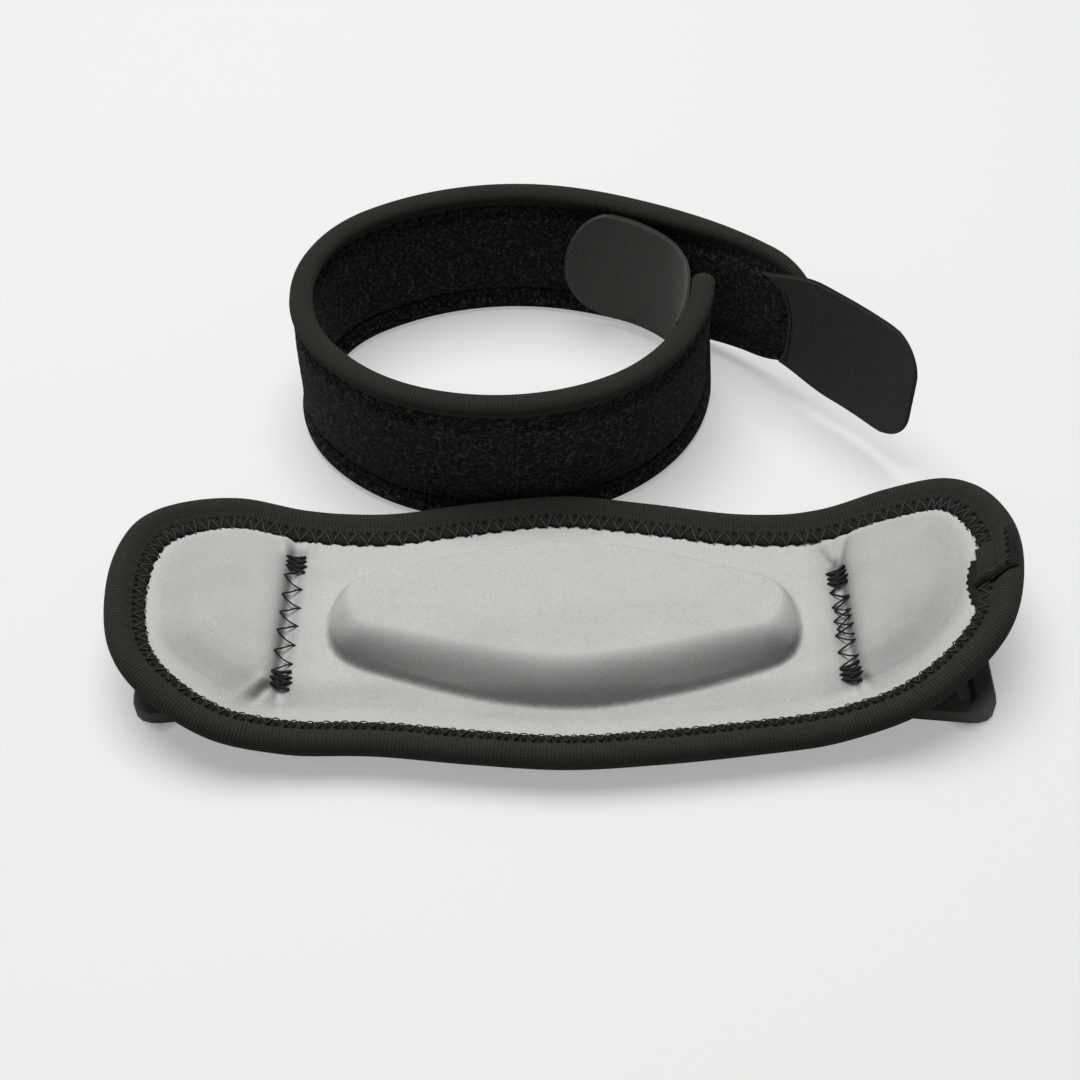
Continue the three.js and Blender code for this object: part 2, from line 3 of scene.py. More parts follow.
import bmesh
import bpy
import numpy as np
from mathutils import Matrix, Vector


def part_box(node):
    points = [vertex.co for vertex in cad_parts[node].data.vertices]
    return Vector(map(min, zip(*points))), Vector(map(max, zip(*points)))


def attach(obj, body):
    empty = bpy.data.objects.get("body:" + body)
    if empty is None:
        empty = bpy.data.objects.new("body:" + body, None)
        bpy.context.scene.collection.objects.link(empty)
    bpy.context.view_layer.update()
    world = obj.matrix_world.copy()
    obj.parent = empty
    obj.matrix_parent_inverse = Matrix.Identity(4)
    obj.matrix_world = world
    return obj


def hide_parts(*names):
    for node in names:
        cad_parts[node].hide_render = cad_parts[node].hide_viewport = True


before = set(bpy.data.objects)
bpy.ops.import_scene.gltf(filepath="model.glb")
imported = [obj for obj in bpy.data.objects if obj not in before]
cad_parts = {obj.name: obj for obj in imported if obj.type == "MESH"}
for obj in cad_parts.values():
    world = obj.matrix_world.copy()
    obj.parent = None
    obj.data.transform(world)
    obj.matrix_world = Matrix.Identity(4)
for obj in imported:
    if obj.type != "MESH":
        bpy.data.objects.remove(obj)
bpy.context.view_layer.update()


# Plastic plate under the cuff: one flat black moulding with a slot at each end for the strap.
# Its solid already has the true shape, so it only takes its finish, a fine spark-eroded grain
# with a low sheen.
def fabric_or_plastic(name, roughness, sheen=0.0, specular=0.5):
    finish = bpy.data.materials.new(name)
    finish.use_nodes = True
    shader = finish.node_tree.nodes["Principled BSDF"]
    shader.inputs["Roughness"].default_value = roughness
    shader.inputs["Sheen Weight"].default_value = sheen
    shader.inputs["Sheen Roughness"].default_value = 0.6
    shader.inputs["Specular IOR Level"].default_value = specular
    return finish, finish.node_tree.nodes, finish.node_tree.links, shader


def new_group(name, numbers, results, tones=()):
    """A node group with a place, its own numbers, its results and its tones, and nothing in it."""
    group = bpy.data.node_groups.new(name, "ShaderNodeTree")
    group.interface.new_socket(name="Place", in_out="INPUT", socket_type="NodeSocketVector")
    for socket in numbers:
        group.interface.new_socket(name=socket, in_out="INPUT", socket_type="NodeSocketFloat")
    for socket in results:
        group.interface.new_socket(name=socket, in_out="OUTPUT", socket_type="NodeSocketFloat")
    for socket in tones:
        group.interface.new_socket(name=socket, in_out="OUTPUT", socket_type="NodeSocketColor")
    nodes = group.nodes
    return group, nodes, group.links, nodes.new("NodeGroupInput"), nodes.new("NodeGroupOutput")


def grain_group():
    group, nodes, links, start, finish = new_group("fibre_grain", ("Fine", "Coarse"), ("Grain", "Cloud"))
    for scale, result, detail in (("Fine", "Grain", 3.0), ("Coarse", "Cloud", 2.0)):
        noise = nodes.new("ShaderNodeTexNoise")
        noise.inputs["Detail"].default_value = detail
        noise.inputs["Roughness"].default_value = 0.6
        links.new(start.outputs["Place"], noise.inputs["Vector"])
        links.new(start.outputs[scale], noise.inputs["Scale"])
        links.new(noise.outputs["Fac"], finish.inputs[result])
    return group


GRAIN = grain_group()


def add_group(nodes, links, group, place, **numbers):
    node = nodes.new("ShaderNodeGroup")
    node.node_tree = group
    for socket, number in numbers.items():
        node.inputs[socket].default_value = number
    links.new(place, node.inputs["Place"])
    return node


def add_grain(nodes, links, fine, coarse):
    place = nodes.new("ShaderNodeTexCoord")
    return add_group(nodes, links, GRAIN, place.outputs["Object"], Fine=fine, Coarse=coarse)


def two_tones(nodes, links, mask, low, high, dark, light):
    ramp = nodes.new("ShaderNodeValToRGB")
    ramp.color_ramp.elements[0].position = low
    ramp.color_ramp.elements[1].position = high
    ramp.color_ramp.elements[0].color = (*dark, 1)
    ramp.color_ramp.elements[1].color = (*light, 1)
    links.new(mask, ramp.inputs["Fac"])
    return ramp.outputs["Color"]


def add_bump(nodes, links, height, depth, strength, after=None):
    bump = nodes.new("ShaderNodeBump")
    bump.inputs["Strength"].default_value = strength
    bump.inputs["Distance"].default_value = depth
    links.new(height, bump.inputs["Height"])
    if after is not None:
        links.new(after.outputs["Normal"], bump.inputs["Normal"])
    return bump


def dress(links, shader, tone, bump):
    links.new(tone, shader.inputs["Base Color"])
    links.new(bump.outputs["Normal"], shader.inputs["Normal"])


def wear(piece, finish):
    piece.data.materials.clear()
    piece.data.materials.append(finish)


plastic, nodes, links, shader = fabric_or_plastic("black_plastic", 0.42)
grain = add_grain(nodes, links, 5200.0, 60.0)
dark, light = (0.09, 0.09, 0.088), (0.115, 0.115, 0.113)
tone = two_tones(nodes, links, grain.outputs["Cloud"], 0.3, 0.7, dark, light)
bump = add_bump(nodes, links, grain.outputs["Grain"], 0.00005, 0.35)
dress(links, shader, tone, bump)
wear(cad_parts["end_plate"], plastic)


# Cuff cover: thin foam with a brushed black cover cloth, the side of the cuff that faces the plate.
# It lies flat over the plate and its two ends bend up. The edge is pinched under the binding.
MM = 0.001
CUFF_LENGTH = 166
CUFF_DEPTH = 63.2
CLEARANCE = 0.3
PLATE_THICKNESS = 2.8
WEBBING_THICKNESS = 1.9
LINING_THICKNESS = 1
STACK_HALF = 1.15
FOAM_TOP = STACK_HALF - LINING_THICKNESS - CLEARANCE
CHANNEL_HALF = STACK_HALF + CLEARANCE
CUFF_PUFF = 0.5
CUFF_MIDDLE = PLATE_THICKNESS + CLEARANCE + WEBBING_THICKNESS + CLEARANCE + CUFF_PUFF + STACK_HALF
BINDING_REACH = 6.4
BINDING_BEAD = 2.2
EDGE_INSET = BINDING_BEAD + CLEARANCE
# shares of half the length, then of half the depth behind and in front
CUFF_SECTIONS = [
    (-1, 0.1, 0.1),
    (-0.973, 0.5, -0.36),
    (-0.892, 0.735, -0.65),
    (-0.753, 0.883, -0.858),
    (-0.596, 0.865, -0.905),
    (-0.404, 0.85, -0.91),
    (-0.199, 0.94, -0.965),
    (0, 1, -1),
    (0.199, 0.937, -0.965),
    (0.404, 0.851, -0.9),
    (0.596, 0.861, -0.82),
    (0.753, 0.915, -0.718),
    (0.886, 0.873, -0.485),
    (0.967, 0.652, -0.18),
    (1, 0.28, 0.28),
]
# where each end starts to bend, how steep it gets, how softly it starts
LEFT_BEND = (0.52, 0.35, 14)
RIGHT_BEND = (0.5, 0.48, 16)
# the plate's middle lies this far behind the cuff's
PLATE_BEHIND = 1.1
plate_low, plate_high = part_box("end_plate")
CUFF_X = (plate_low[0] + plate_high[0]) / 2 / MM
CUFF_Y = (plate_low[1] + plate_high[1]) / 2 / MM - PLATE_BEHIND


def closed_curve(corners, steps):
    corners = np.array(corners, float)
    t = np.linspace(0, 1, steps, endpoint=False)[:, None]
    spans = []
    for i in range(len(corners)):
        a, b, c, d = (corners[(i + k) % len(corners)] for k in (-1, 0, 1, 2))
        from_b, to_c = 0.5 * (c - a), 0.5 * (d - b)
        cubic = 2 * b - 2 * c + from_b + to_c
        square = -3 * b + 3 * c - 2 * from_b - to_c
        spans.append(cubic * t**3 + square * t**2 + from_b * t + b)
    return np.concatenate(spans)


def measured(points):
    """Closes a loop of points and reckons how far round it each one lies."""
    around = np.vstack([points, points[:1]])
    return around, np.concatenate([[0], np.cumsum(np.hypot(*np.diff(around, axis=0).T))])


def along_loop(loop, gone, distance):
    distance = np.mod(distance, gone[-1])
    return np.stack([np.interp(distance, gone, loop[:, k]) for k in (0, 1)], axis=1)


def inward(loop, gone, distance, reach=0.6):
    ahead = along_loop(loop, gone, distance + reach) - along_loop(loop, gone, distance - reach)
    ahead /= np.hypot(ahead[:, 0], ahead[:, 1])[:, None]
    return np.stack([ahead[:, 1], -ahead[:, 0]], axis=1)


back_side = [(along * CUFF_LENGTH / 2, back * CUFF_DEPTH / 2) for along, back, _ in CUFF_SECTIONS]
front_side = [(along * CUFF_LENGTH / 2, front * CUFF_DEPTH / 2) for along, _, front in CUFF_SECTIONS]
CUFF_LOOP, CUFF_GONE = measured(closed_curve(back_side + front_side[-2:0:-1], 40))


def step_up(value):
    value = np.clip(value, 0, 1)
    return value * value * (3 - 2 * value)


def bent(x, y, height):
    left = x < 0
    start = np.where(left, LEFT_BEND[0], RIGHT_BEND[0]) * CUFF_LENGTH / 2
    slope = np.where(left, LEFT_BEND[1], RIGHT_BEND[1])
    soft = np.where(left, LEFT_BEND[2], RIGHT_BEND[2])
    past = np.maximum(0, np.abs(x) - start)
    rise = slope * (np.hypot(past, soft) - soft)
    tilt = np.arctan(np.sign(x) * slope * past / np.hypot(past, soft))
    high = CUFF_MIDDLE + rise + height * np.cos(tilt)
    return np.stack([x - height * np.sin(tilt) + CUFF_X, y + CUFF_Y, high], axis=1) * MM


def apart_from(loop, x, y):
    nearest = np.full(len(x), np.inf)
    for px, py in loop:
        nearest = np.minimum(nearest, (x - px) ** 2 + (y - py) ** 2)
    return np.sqrt(nearest)


def from_edge(x, y):
    return apart_from(CUFF_LOOP[::2], x, y)


def puff(x, y):
    return CUFF_PUFF * step_up((from_edge(x, y) - BINDING_REACH - BINDING_BEAD) / BINDING_REACH)


def inside_cuff(s, t, inset):
    """Spreads a square grid over the cuff's outline, less an inset."""
    u, v = 2 * s - 1, 2 * t - 1
    dx, dy = u * np.sqrt(1 - v * v / 2), v * np.sqrt(1 - u * u / 2)
    shrunk = CUFF_LOOP[:-1] + inset * inward(CUFF_LOOP, CUFF_GONE, CUFF_GONE[:-1])
    angle = np.arctan2(shrunk[:, 1] / CUFF_DEPTH, shrunk[:, 0] / CUFF_LENGTH)
    reach = np.hypot(shrunk[:, 1] / CUFF_DEPTH, shrunk[:, 0] / CUFF_LENGTH)
    order = np.argsort(angle)
    here = np.arctan2(dy, dx)
    far = np.interp(here, angle[order], reach[order], period=2 * math.pi) * np.hypot(dx, dy)
    return far * np.cos(here) * CUFF_LENGTH, far * np.sin(here) * CUFF_DEPTH


def in_scene(name, data):
    piece = bpy.data.objects.new(name, data)
    bpy.context.scene.collection.objects.link(piece)
    return piece


def finish_piece(name, bm, finish, sharp=45):
    mesh = bpy.data.meshes.new(name)
    bm.to_mesh(mesh)
    bm.free()
    mesh.polygons.foreach_set("use_smooth", [True] * len(mesh.polygons))
    if sharp:
        mesh.set_sharp_from_angle(angle=math.radians(sharp))
    piece = in_scene(name, mesh)
    wear(piece, finish)
    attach(piece, "root")
    return piece


def grid_mesh(columns, rows, width, depth):
    bm = bmesh.new()
    bm.loops.layers.uv.new("UVMap")
    bmesh.ops.create_grid(bm, x_segments=columns, y_segments=rows, size=0.5, calc_uvs=True)
    uv = bm.loops.layers.uv.active
    for face in bm.faces:
        for loop in face.loops:
            loop[uv].uv = (loop[uv].uv.x * width, loop[uv].uv.y * depth)
    return bm


def shares(verts):
    points = np.array([vert.co[:2] for vert in verts])
    return ((points - points.min(axis=0)) / np.ptp(points, axis=0)).T


def put(verts, points):
    for vert, point in zip(verts, points):
        vert.co = point


def slab(name, columns, rows, size, place, finish):
    """A closed sheet: place(s, t, side) puts its upper face (1) and its lower one (-1)."""
    bm = grid_mesh(columns, rows, *size)
    upper = list(bm.verts)
    grown = bmesh.ops.extrude_face_region(bm, geom=list(bm.faces))["geom"]
    lower = [part for part in grown if isinstance(part, bmesh.types.BMVert)]
    s, t = shares(upper)
    s_low, t_low = shares(lower)
    put(upper, place(s, t, 1))
    put(lower, place(s_low, t_low, -1))
    bmesh.ops.recalc_face_normals(bm, faces=bm.faces)
    return finish_piece(name, bm, finish)


cover_cloth, nodes, links, shader = fabric_or_plastic("cover_cloth", 0.9, sheen=0.35, specular=0.2)
grain = add_grain(nodes, links, 3800.0, 120.0)
dark, light = (0.01, 0.01, 0.01), (0.035, 0.035, 0.034)
tone = two_tones(nodes, links, grain.outputs["Grain"], 0.3, 0.75, dark, light)
bump = add_bump(nodes, links, grain.outputs["Grain"], 0.0002, 0.7)
dress(links, shader, tone, bump)


def cover_face(s, t, side):
    x, y = inside_cuff(s, t, EDGE_INSET)
    rise = puff(x, y)
    return bent(x, y, FOAM_TOP + rise if side > 0 else -STACK_HALF - rise)


cuff_cover = slab("cuff_cover", 120, 60, (0.16, 0.06), cover_face, cover_cloth)
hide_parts("pad_foam")


# Cuff lining: brushed light grey jersey drawn over the foam and over the firm lens-shaped insert.
# Two cross seams pull it down to the plate, with puckers at their ends. Beyond each seam it swells
# into a lobe.
LENS_LENGTH = 87.6
LENS_DEPTH = 39.6
LENS_FORWARD = 0.4
LENS_HEIGHT = 5.2
LENS_FRONT_SLOPE = 8.5
LENS_BACK_SLOPE = 5.0
LENS_END_SLOPE = 3.2
LENS_DOME = 0.45
# it narrows towards its ends by this share, softly at the middle and along this power, and the
# ends are blunt
LENS_TAPER = 0.6
LENS_EASE = 0.05
LENS_POINT = 0.75
LENS_BLUNTNESS = 20
# the back slope turns into the fuller front one over this much to either side of the middle
LENS_TURN = 5
FRONT_FULLNESS = 2.5
# along its foot, this wide, it rises to this share of its height only
LENS_FOOT = 1.4
LENS_FOOT_RISE = 0.6
# the tape presses the lining down at its edge, less and less over this reach
TAPE_PRESS = 0.3
TAPE_PRESS_REACH = 4
SEAM_DEPTH = 0.9
SEAM_WIDTH = 1.5
SEAM_FADE = 3
# beyond each seam the cloth swells quickly and sinks slowly, less so beside the tape
LOBE_STEP = 2.9
LOBE_START = 0.6
LOBE_RISE_LENGTH = 2.4
LOBE_FALL_LENGTH = 20
LOBE_AT_TAPE = 0.3
LOBE_TAPE_REACH = 12
# the same within the seams, where it is slight
INNER_STEP = 0.35
INNER_RISE_LENGTH = 2.2
INNER_FALL_LENGTH = 3.5
# each seam's x at its back end, the y of its back and front ends, and its x at its front end
SEAMS = {"left": (-50.6, 14.9, -16.2, -50.9), "right": (51.3, 10.9, -14.9, 51.3)}
# creases: from, to, width and depth, in the cuff's plan
CREASES = [
    (-50.3, 16.0, -50.9, 23.5, 1.6, -0.35),
    (-48.3, 15.5, -47.4, 23.0, 0.9, 0.30),
    (-52.6, 15.5, -54.2, 23.0, 0.9, 0.30),
    (-53.0, -16.5, -57.5, -23.0, 0.8, -0.45),
    (-54.4, -15.5, -59.5, -21.0, 1.0, 0.35),
    (-50.5, -16.0, -50.0, -24.0, 1.2, -0.3),
    (50.0, 13.2, 46.4, 20.5, 0.8, -0.45),
    (52.4, 13.2, 54.4, 21.5, 0.8, -0.45),
    (51.0, 13.5, 50.6, 21.0, 1.3, 0.4),
    (53.6, -15.2, 55.8, -21.5, 0.8, -0.4),
    (51.6, -15.4, 52.0, -22.0, 1.2, -0.25),
]


def lens_half(u):
    """Half the lens's depth, as a share, at a share of half its length: blunt at both ends."""
    u = np.minimum(np.abs(u), 1)
    narrowed = ((u * u + LENS_EASE) ** LENS_POINT - LENS_EASE**LENS_POINT) * LENS_TAPER
    return (1 - narrowed) * np.sqrt(1 - u**LENS_BLUNTNESS)


def lens_outline():
    u = np.sin(np.linspace(-math.pi / 2, math.pi / 2, 260))
    x, y = u * LENS_LENGTH / 2, lens_half(u) * LENS_DEPTH / 2
    return np.concatenate([np.stack([x, y], axis=1), np.stack([x, -y], axis=1)[::-1]])


LENS_LOOP = lens_outline()


def lens_rise(x, y):
    y = y + LENS_FORWARD
    u = x / (LENS_LENGTH / 2)
    v = np.abs(y) / (LENS_DEPTH / 2)
    depth = np.where((np.abs(u) < 1) & (v < lens_half(u)), apart_from(LENS_LOOP, x, y), 0)
    front = step_up((LENS_TURN - y) / (2 * LENS_TURN))
    slope = LENS_BACK_SLOPE + (LENS_FRONT_SLOPE - LENS_BACK_SLOPE) * front
    slope = LENS_END_SLOPE + (slope - LENS_END_SLOPE) * (1 - np.minimum(np.abs(u), 1) ** 6)
    dome = LENS_DOME * step_up(depth / (LENS_DEPTH / 2))
    share = np.clip(depth / slope, 0, 1)
    power = FRONT_FULLNESS + 1
    full = power / FRONT_FULLNESS * (share - share**power / power)
    shoulder = step_up(share) + front * (full - step_up(share))
    foot = LENS_FOOT_RISE + (1 - LENS_FOOT_RISE) * step_up(depth / LENS_FOOT)
    return (LENS_HEIGHT - LENS_DOME) * shoulder * foot + dome


def near_line(x, y, x0, y0, x1, y1, width):
    run = np.array([x1 - x0, y1 - y0])
    t = np.clip(((x - x0) * run[0] + (y - y0) * run[1]) / (run @ run), 0, 1)
    apart = np.hypot(x - x0 - t * run[0], y - y0 - t * run[1])
    return np.exp(-((apart / width) ** 2)), t


def seam_relief(x, y, edge):
    relief = np.zeros(len(x))
    from_tape = LOBE_AT_TAPE + (1 - LOBE_AT_TAPE) * step_up((edge - BINDING_REACH) / LOBE_TAPE_REACH)
    for middle, back, front, front_x in SEAMS.values():
        line = middle + (front_x - middle) * np.clip((back - y) / (back - front), 0, 1)
        apart = (x - line) * math.copysign(1, middle)
        held = step_up((back + SEAM_FADE - y) / SEAM_FADE) * step_up((y - front + SEAM_FADE) / SEAM_FADE)
        relief -= SEAM_DEPTH * held * np.exp(-((apart / SEAM_WIDTH) ** 2))
        out, within = np.maximum(apart, 0), np.maximum(-apart, 0)
        swell = 1 - np.exp(-np.maximum(apart - LOBE_START, 0) / LOBE_RISE_LENGTH)
        relief += LOBE_STEP * swell * np.exp(-out / LOBE_FALL_LENGTH) * from_tape
        swell = 1 - np.exp(-within / INNER_RISE_LENGTH)
        relief += INNER_STEP * held * swell * np.exp(-within / INNER_FALL_LENGTH)
    for x0, y0, x1, y1, width, depth in CREASES:
        line, t = near_line(x, y, x0, y0, x1, y1, width)
        relief += depth * line * (1 - 0.5 * t)
    return relief


def lining_top(x, y):
    edge = from_edge(x, y)
    free = step_up((edge - BINDING_REACH + 0.5) / 3)
    slack = 0.08 * np.sin(x * 0.31 + y * 0.17) + 0.05 * np.sin(x * 0.12 - y * 0.43 + 1)
    sunk = TAPE_PRESS * (1 - step_up((edge - BINDING_REACH) / TAPE_PRESS_REACH))
    return STACK_HALF - sunk + puff(x, y) + lens_rise(x, y) + free * (seam_relief(x, y, edge) + slack)


# painted shade: the lining is darkened where the cloth slopes to the front, on and beyond the seams, and
# more at the right end than at the left
PAINTED_SHADE_PROBE = 0.3
PAINTED_SHADE_FRONT = 1.15
PAINTED_SHADE_ACROSS = 0.5
PAINTED_SHADE_LOBES = 0.12
PAINTED_SHADE_RIGHT = 0.04
PAINTED_SHADE_LOBES_START = 44
PAINTED_SHADE_LOBES_FADE = 6
PAINTED_SLOPE_SHADES = []


def painted_slope_shade(x, y):
    across = lining_top(x + PAINTED_SHADE_PROBE, y) - lining_top(x - PAINTED_SHADE_PROBE, y)
    towards = lining_top(x, y + PAINTED_SHADE_PROBE) - lining_top(x, y - PAINTED_SHADE_PROBE)
    open_cloth = step_up((from_edge(x, y) - BINDING_REACH - 1.2) / 2.5)
    beyond = step_up((np.abs(x) - PAINTED_SHADE_LOBES_START) / PAINTED_SHADE_LOBES_FADE)
    side_shade = PAINTED_SHADE_ACROSS * np.abs(across) / (2 * PAINTED_SHADE_PROBE) + PAINTED_SHADE_LOBES + PAINTED_SHADE_RIGHT * np.sign(x)
    front_shade = PAINTED_SHADE_FRONT * np.maximum(towards / (2 * PAINTED_SHADE_PROBE), 0)
    return np.clip(side_shade * beyond + front_shade, 0, 1) * open_cloth


def lining_face(s, t, side):
    x, y = inside_cuff(s, t, EDGE_INSET)
    top = lining_top(x, y)
    if side > 0:
        PAINTED_SLOPE_SHADES.append(painted_slope_shade(x, y))
    return bent(x, y, top if side > 0 else top - LINING_THICKNESS)


def feed(links, value, socket):
    """Links another node's output to a socket, or sets the socket to a number or a tone."""
    if isinstance(value, bpy.types.NodeSocket):
        links.new(value, socket)
    else:
        socket.default_value = value


def blend(nodes, links, under, over, share=None):
    """Lays one tone over another by a mask's share, or without a mask multiplies the two."""
    mix = nodes.new("ShaderNodeMix")
    mix.data_type = "RGBA"
    if share is None:
        mix.blend_type = "MULTIPLY"
        mix.inputs["Factor"].default_value = 1.0
    else:
        links.new(share, mix.inputs["Factor"])
    feed(links, under, mix.inputs["A"])
    feed(links, over, mix.inputs["B"])
    return mix.outputs["Result"]


jersey, nodes, links, shader = fabric_or_plastic("grey_jersey", 0.95, sheen=0.03, specular=0.1)
grain = add_grain(nodes, links, 4600.0, 240.0)
dark, light = (0.45, 0.45, 0.447), (0.63, 0.63, 0.626)
speckled = two_tones(nodes, links, grain.outputs["Grain"], 0.3, 0.7, dark, light)
clouds = two_tones(nodes, links, grain.outputs["Cloud"], 0.25, 0.75, (0.95, 0.95, 0.95), (1, 1, 1))
# painted shade: this attribute darkens the jersey's tone, to as little as 0.3 of it, on front slopes and
# beside the seams
painted_shade_node = nodes.new("ShaderNodeAttribute")
painted_shade_node.attribute_name = "painted_shade"
shade = two_tones(nodes, links, painted_shade_node.outputs["Fac"], 0.0, 1.0, (1, 1, 1), (0.3, 0.3, 0.3))
tone = blend(nodes, links, blend(nodes, links, speckled, clouds), shade)
bump = add_bump(nodes, links, grain.outputs["Grain"], 0.00012, 0.4)
dress(links, shader, tone, bump)

cuff_lining = slab("cuff_lining", 328, 138, (0.16, 0.06), lining_face, jersey)
painted_shade = cuff_lining.data.attributes.new("painted_shade", "FLOAT", "POINT")
painted_shade.data.foreach_set("value", np.resize(PAINTED_SLOPE_SHADES[0], len(cuff_lining.data.vertices)))
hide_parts("pad_lining", "pressure_pad")


# Seam stitching: thick black thread in a wide zigzag across each seam, through lining, foam and
# the webbing below, with a bar-tack of close strokes at both ends. The right seam was sewn twice.
SEAM_THREAD = 0.165
TACK_THREAD = 0.32
TACK_PITCH = 1.2
TACK_HALF = 1.8
# how far its stitches stray, across the seam and along it
STRAY_ACROSS = 0.12
STRAY_ALONG = 0.16


def sewing_thread(name, roughness, specular, dark, light):
    finish, nodes, links, shader = fabric_or_plastic(name, roughness, specular=specular)
    grain = add_grain(nodes, links, 6000.0, 900.0)
    tone = two_tones(nodes, links, grain.outputs["Grain"], 0.35, 0.7, dark, light)
    bump = add_bump(nodes, links, grain.outputs["Grain"], 0.0001, 0.6)
    dress(links, shader, tone, bump)
    return finish


thread_black = sewing_thread("black_thread", 0.7, 0.2, (0.006, 0.006, 0.006), (0.028, 0.028, 0.027))


def thread(name, strands, radius, finish, closed=False):
    """Sewn thread along each strand of points, made a mesh."""
    path = bpy.data.curves.new(name + "_path", "CURVE")
    path.dimensions = "3D"
    path.bevel_depth = radius * MM
    path.bevel_resolution = 1
    path.use_fill_caps = not closed
    for strand in strands:
        spline = path.splines.new("POLY")
        spline.points.add(len(strand) - 1)
        for point, place in zip(spline.points, strand):
            point.co = (*place, 1)
        spline.use_cyclic_u = closed
    holder = in_scene(name + "_path", path)
    drawn = holder.evaluated_get(bpy.context.evaluated_depsgraph_get())
    mesh = bpy.data.meshes.new_from_object(drawn)
    mesh.name = name
    bpy.data.objects.remove(holder)
    bpy.data.curves.remove(path)
    bm = bmesh.new()
    bm.from_mesh(mesh)
    bpy.data.meshes.remove(mesh)
    bmesh.ops.recalc_face_normals(bm, faces=bm.faces)
    return finish_piece(name, bm, finish, sharp=0)


def seam_strand(seam, start, finish, pitch, half, radius, seed, drift=0.0, curl=0.6):
    """One zigzag along a seam, from start to finish as shares of its length."""
    middle, back, front, front_x = SEAMS[seam]
    length = (back - front) * (finish - start)
    turns = max(2, round(2 * length / pitch))
    chance = np.random.default_rng(seed)
    xs, ys = [], []
    for k in range(turns + 1):
        share = start + (finish - start) * k / turns
        side = -1 if k % 2 else 1
        line = middle + (front_x - middle) * share
        xs.append(line + side * (half + chance.uniform(-STRAY_ACROSS, STRAY_ACROSS)) + drift)
        ys.append(back + (front - back) * share + chance.uniform(-STRAY_ALONG, STRAY_ALONG))
    fine = np.linspace(0, turns, 7 * turns + 1)
    whole = np.minimum(np.floor(fine), turns - 1).astype(int)
    part = fine - whole
    xs, ys = np.array(xs), np.array(ys)
    x = xs[whole] + (xs[whole + 1] - xs[whole]) * part
    sag = np.where(whole % 2 == 0, part ** (1 + curl), 1 - (1 - part) ** (1 + curl / 2))
    y = ys[whole] + (ys[whole + 1] - ys[whole]) * sag
    corner_tops = lining_top(xs, ys)
    taut = corner_tops[whole] + (corner_tops[whole + 1] - corner_tops[whole]) * part
    lift = radius * 0.75 + 0.1 * np.sin(part * math.pi)
    return bent(x, y, np.maximum(lining_top(x, y), 0.6 * taut + 0.4 * lining_top(x, y)) + lift)


seam_strands = [
    seam_strand("left", 0.11, 0.9, 4.3, 1.85, SEAM_THREAD, 3),
    seam_strand("right", 0.13, 0.88, 3.6, 1.75, SEAM_THREAD, 5),
    seam_strand("right", 0.12, 0.62, 4.4, 1.55, SEAM_THREAD, 8, drift=0.15),
]
tack_strands = []
for seam, ends in (("left", ((0.0, 0.12), (0.885, 1.0))), ("right", ((0.0, 0.14), (0.87, 1.0)))):
    for seed, (start, finish) in enumerate(ends, 11):
        tack = seam_strand(seam, start, finish, TACK_PITCH, TACK_HALF, TACK_THREAD, seed, curl=0)
        tack_strands.append(tack)
thread("seam_stitching", seam_strands, SEAM_THREAD, thread_black)
thread("bar_tacks", tack_strands, TACK_THREAD, thread_black)


# Webbing anchors: short folds of black webbing that are sewn under the cuff at the two seams and
# hold it on the plate. They only show from low down, as woven bands between plate and cuff.
webbing, nodes, links, shader = fabric_or_plastic("black_webbing", 0.8, sheen=0.2, specular=0.3)
weave = nodes.new("ShaderNodeTexWave")
weave.wave_type = "BANDS"
weave.bands_direction = "Y"
weave.inputs["Scale"].default_value = 190.0
weave.inputs["Distortion"].default_value = 1.2
weave.inputs["Detail Scale"].default_value = 700.0
place = nodes.new("ShaderNodeTexCoord")
links.new(place.outputs["Object"], weave.inputs["Vector"])
dark, light = (0.008, 0.008, 0.008), (0.03, 0.03, 0.03)
tone = two_tones(nodes, links, weave.outputs["Fac"], 0.2, 0.8, dark, light)
bump = add_bump(nodes, links, weave.outputs["Fac"], 0.0002, 0.8)
dress(links, shader, tone, bump)
for name in ("anchor_left", "anchor_right"):
    wear(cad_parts[name], webbing)


# Cuff binding: black rib-knit tape folded over the raw edges of cover, foam and lining. It rolls
# over a soft bead, is stitched down by a zigzag near its inner edge, and its ribs run across it.
RIB_PITCH = 0.66
STITCH_PITCH = 3.1
TAPE_WIDTH = 22.0
# painted shade: the tape's flaps are darkened to this share of the knit's tone
FLAP_SHADE = 0.55
NEEDLE_HOLE = 0.45
# the flap is stitched down along a groove this deep in from the edge
GROOVE_DEPTH = 4.4
GROOVE_HALF = 0.7
# the tape was folded on unevenly: its flap is wider behind than in front
FLAP_GROWTH = 0.11
FLAP_GROWTH_BEHIND = 0.34
FLAP_GROWTH_START = 3.3
# depth in from the edge and height above the middle, round the tape's section
TAPE_OUTSIDE = [
    (6.6, 1.15),
    (6.1, 1.6),
    (5.3, 1.66),
    (4.5, 1.38),
    (3.7, 2.0),
    (2.3, 2.52),
    (1.0, 2.15),
    (0.25, 1.2),
]
TAPE_INSIDE = [(5.4, -0.95), (3.0, -1.1), (1.3, 0.0), (3.0, 1.1), (5.4, 0.95)]
TAPE_UNDERSIDE = [(depth, -height) for depth, height in TAPE_OUTSIDE[::-1]]
TAPE_LOOP = [*TAPE_OUTSIDE, (0, 0), *TAPE_UNDERSIDE, *TAPE_INSIDE]


def tape_share(corner):
    """How far round the tape's section one of its corners lies, out of the tape's width."""
    _, gone = measured(closed_curve(TAPE_LOOP, 8))
    return gone[corner * 8] / gone[-1] * TAPE_WIDTH


TAPE_MIDDLE = tape_share(len(TAPE_OUTSIDE))
FLAP_START = TAPE_MIDDLE - tape_share(3) - 0.3


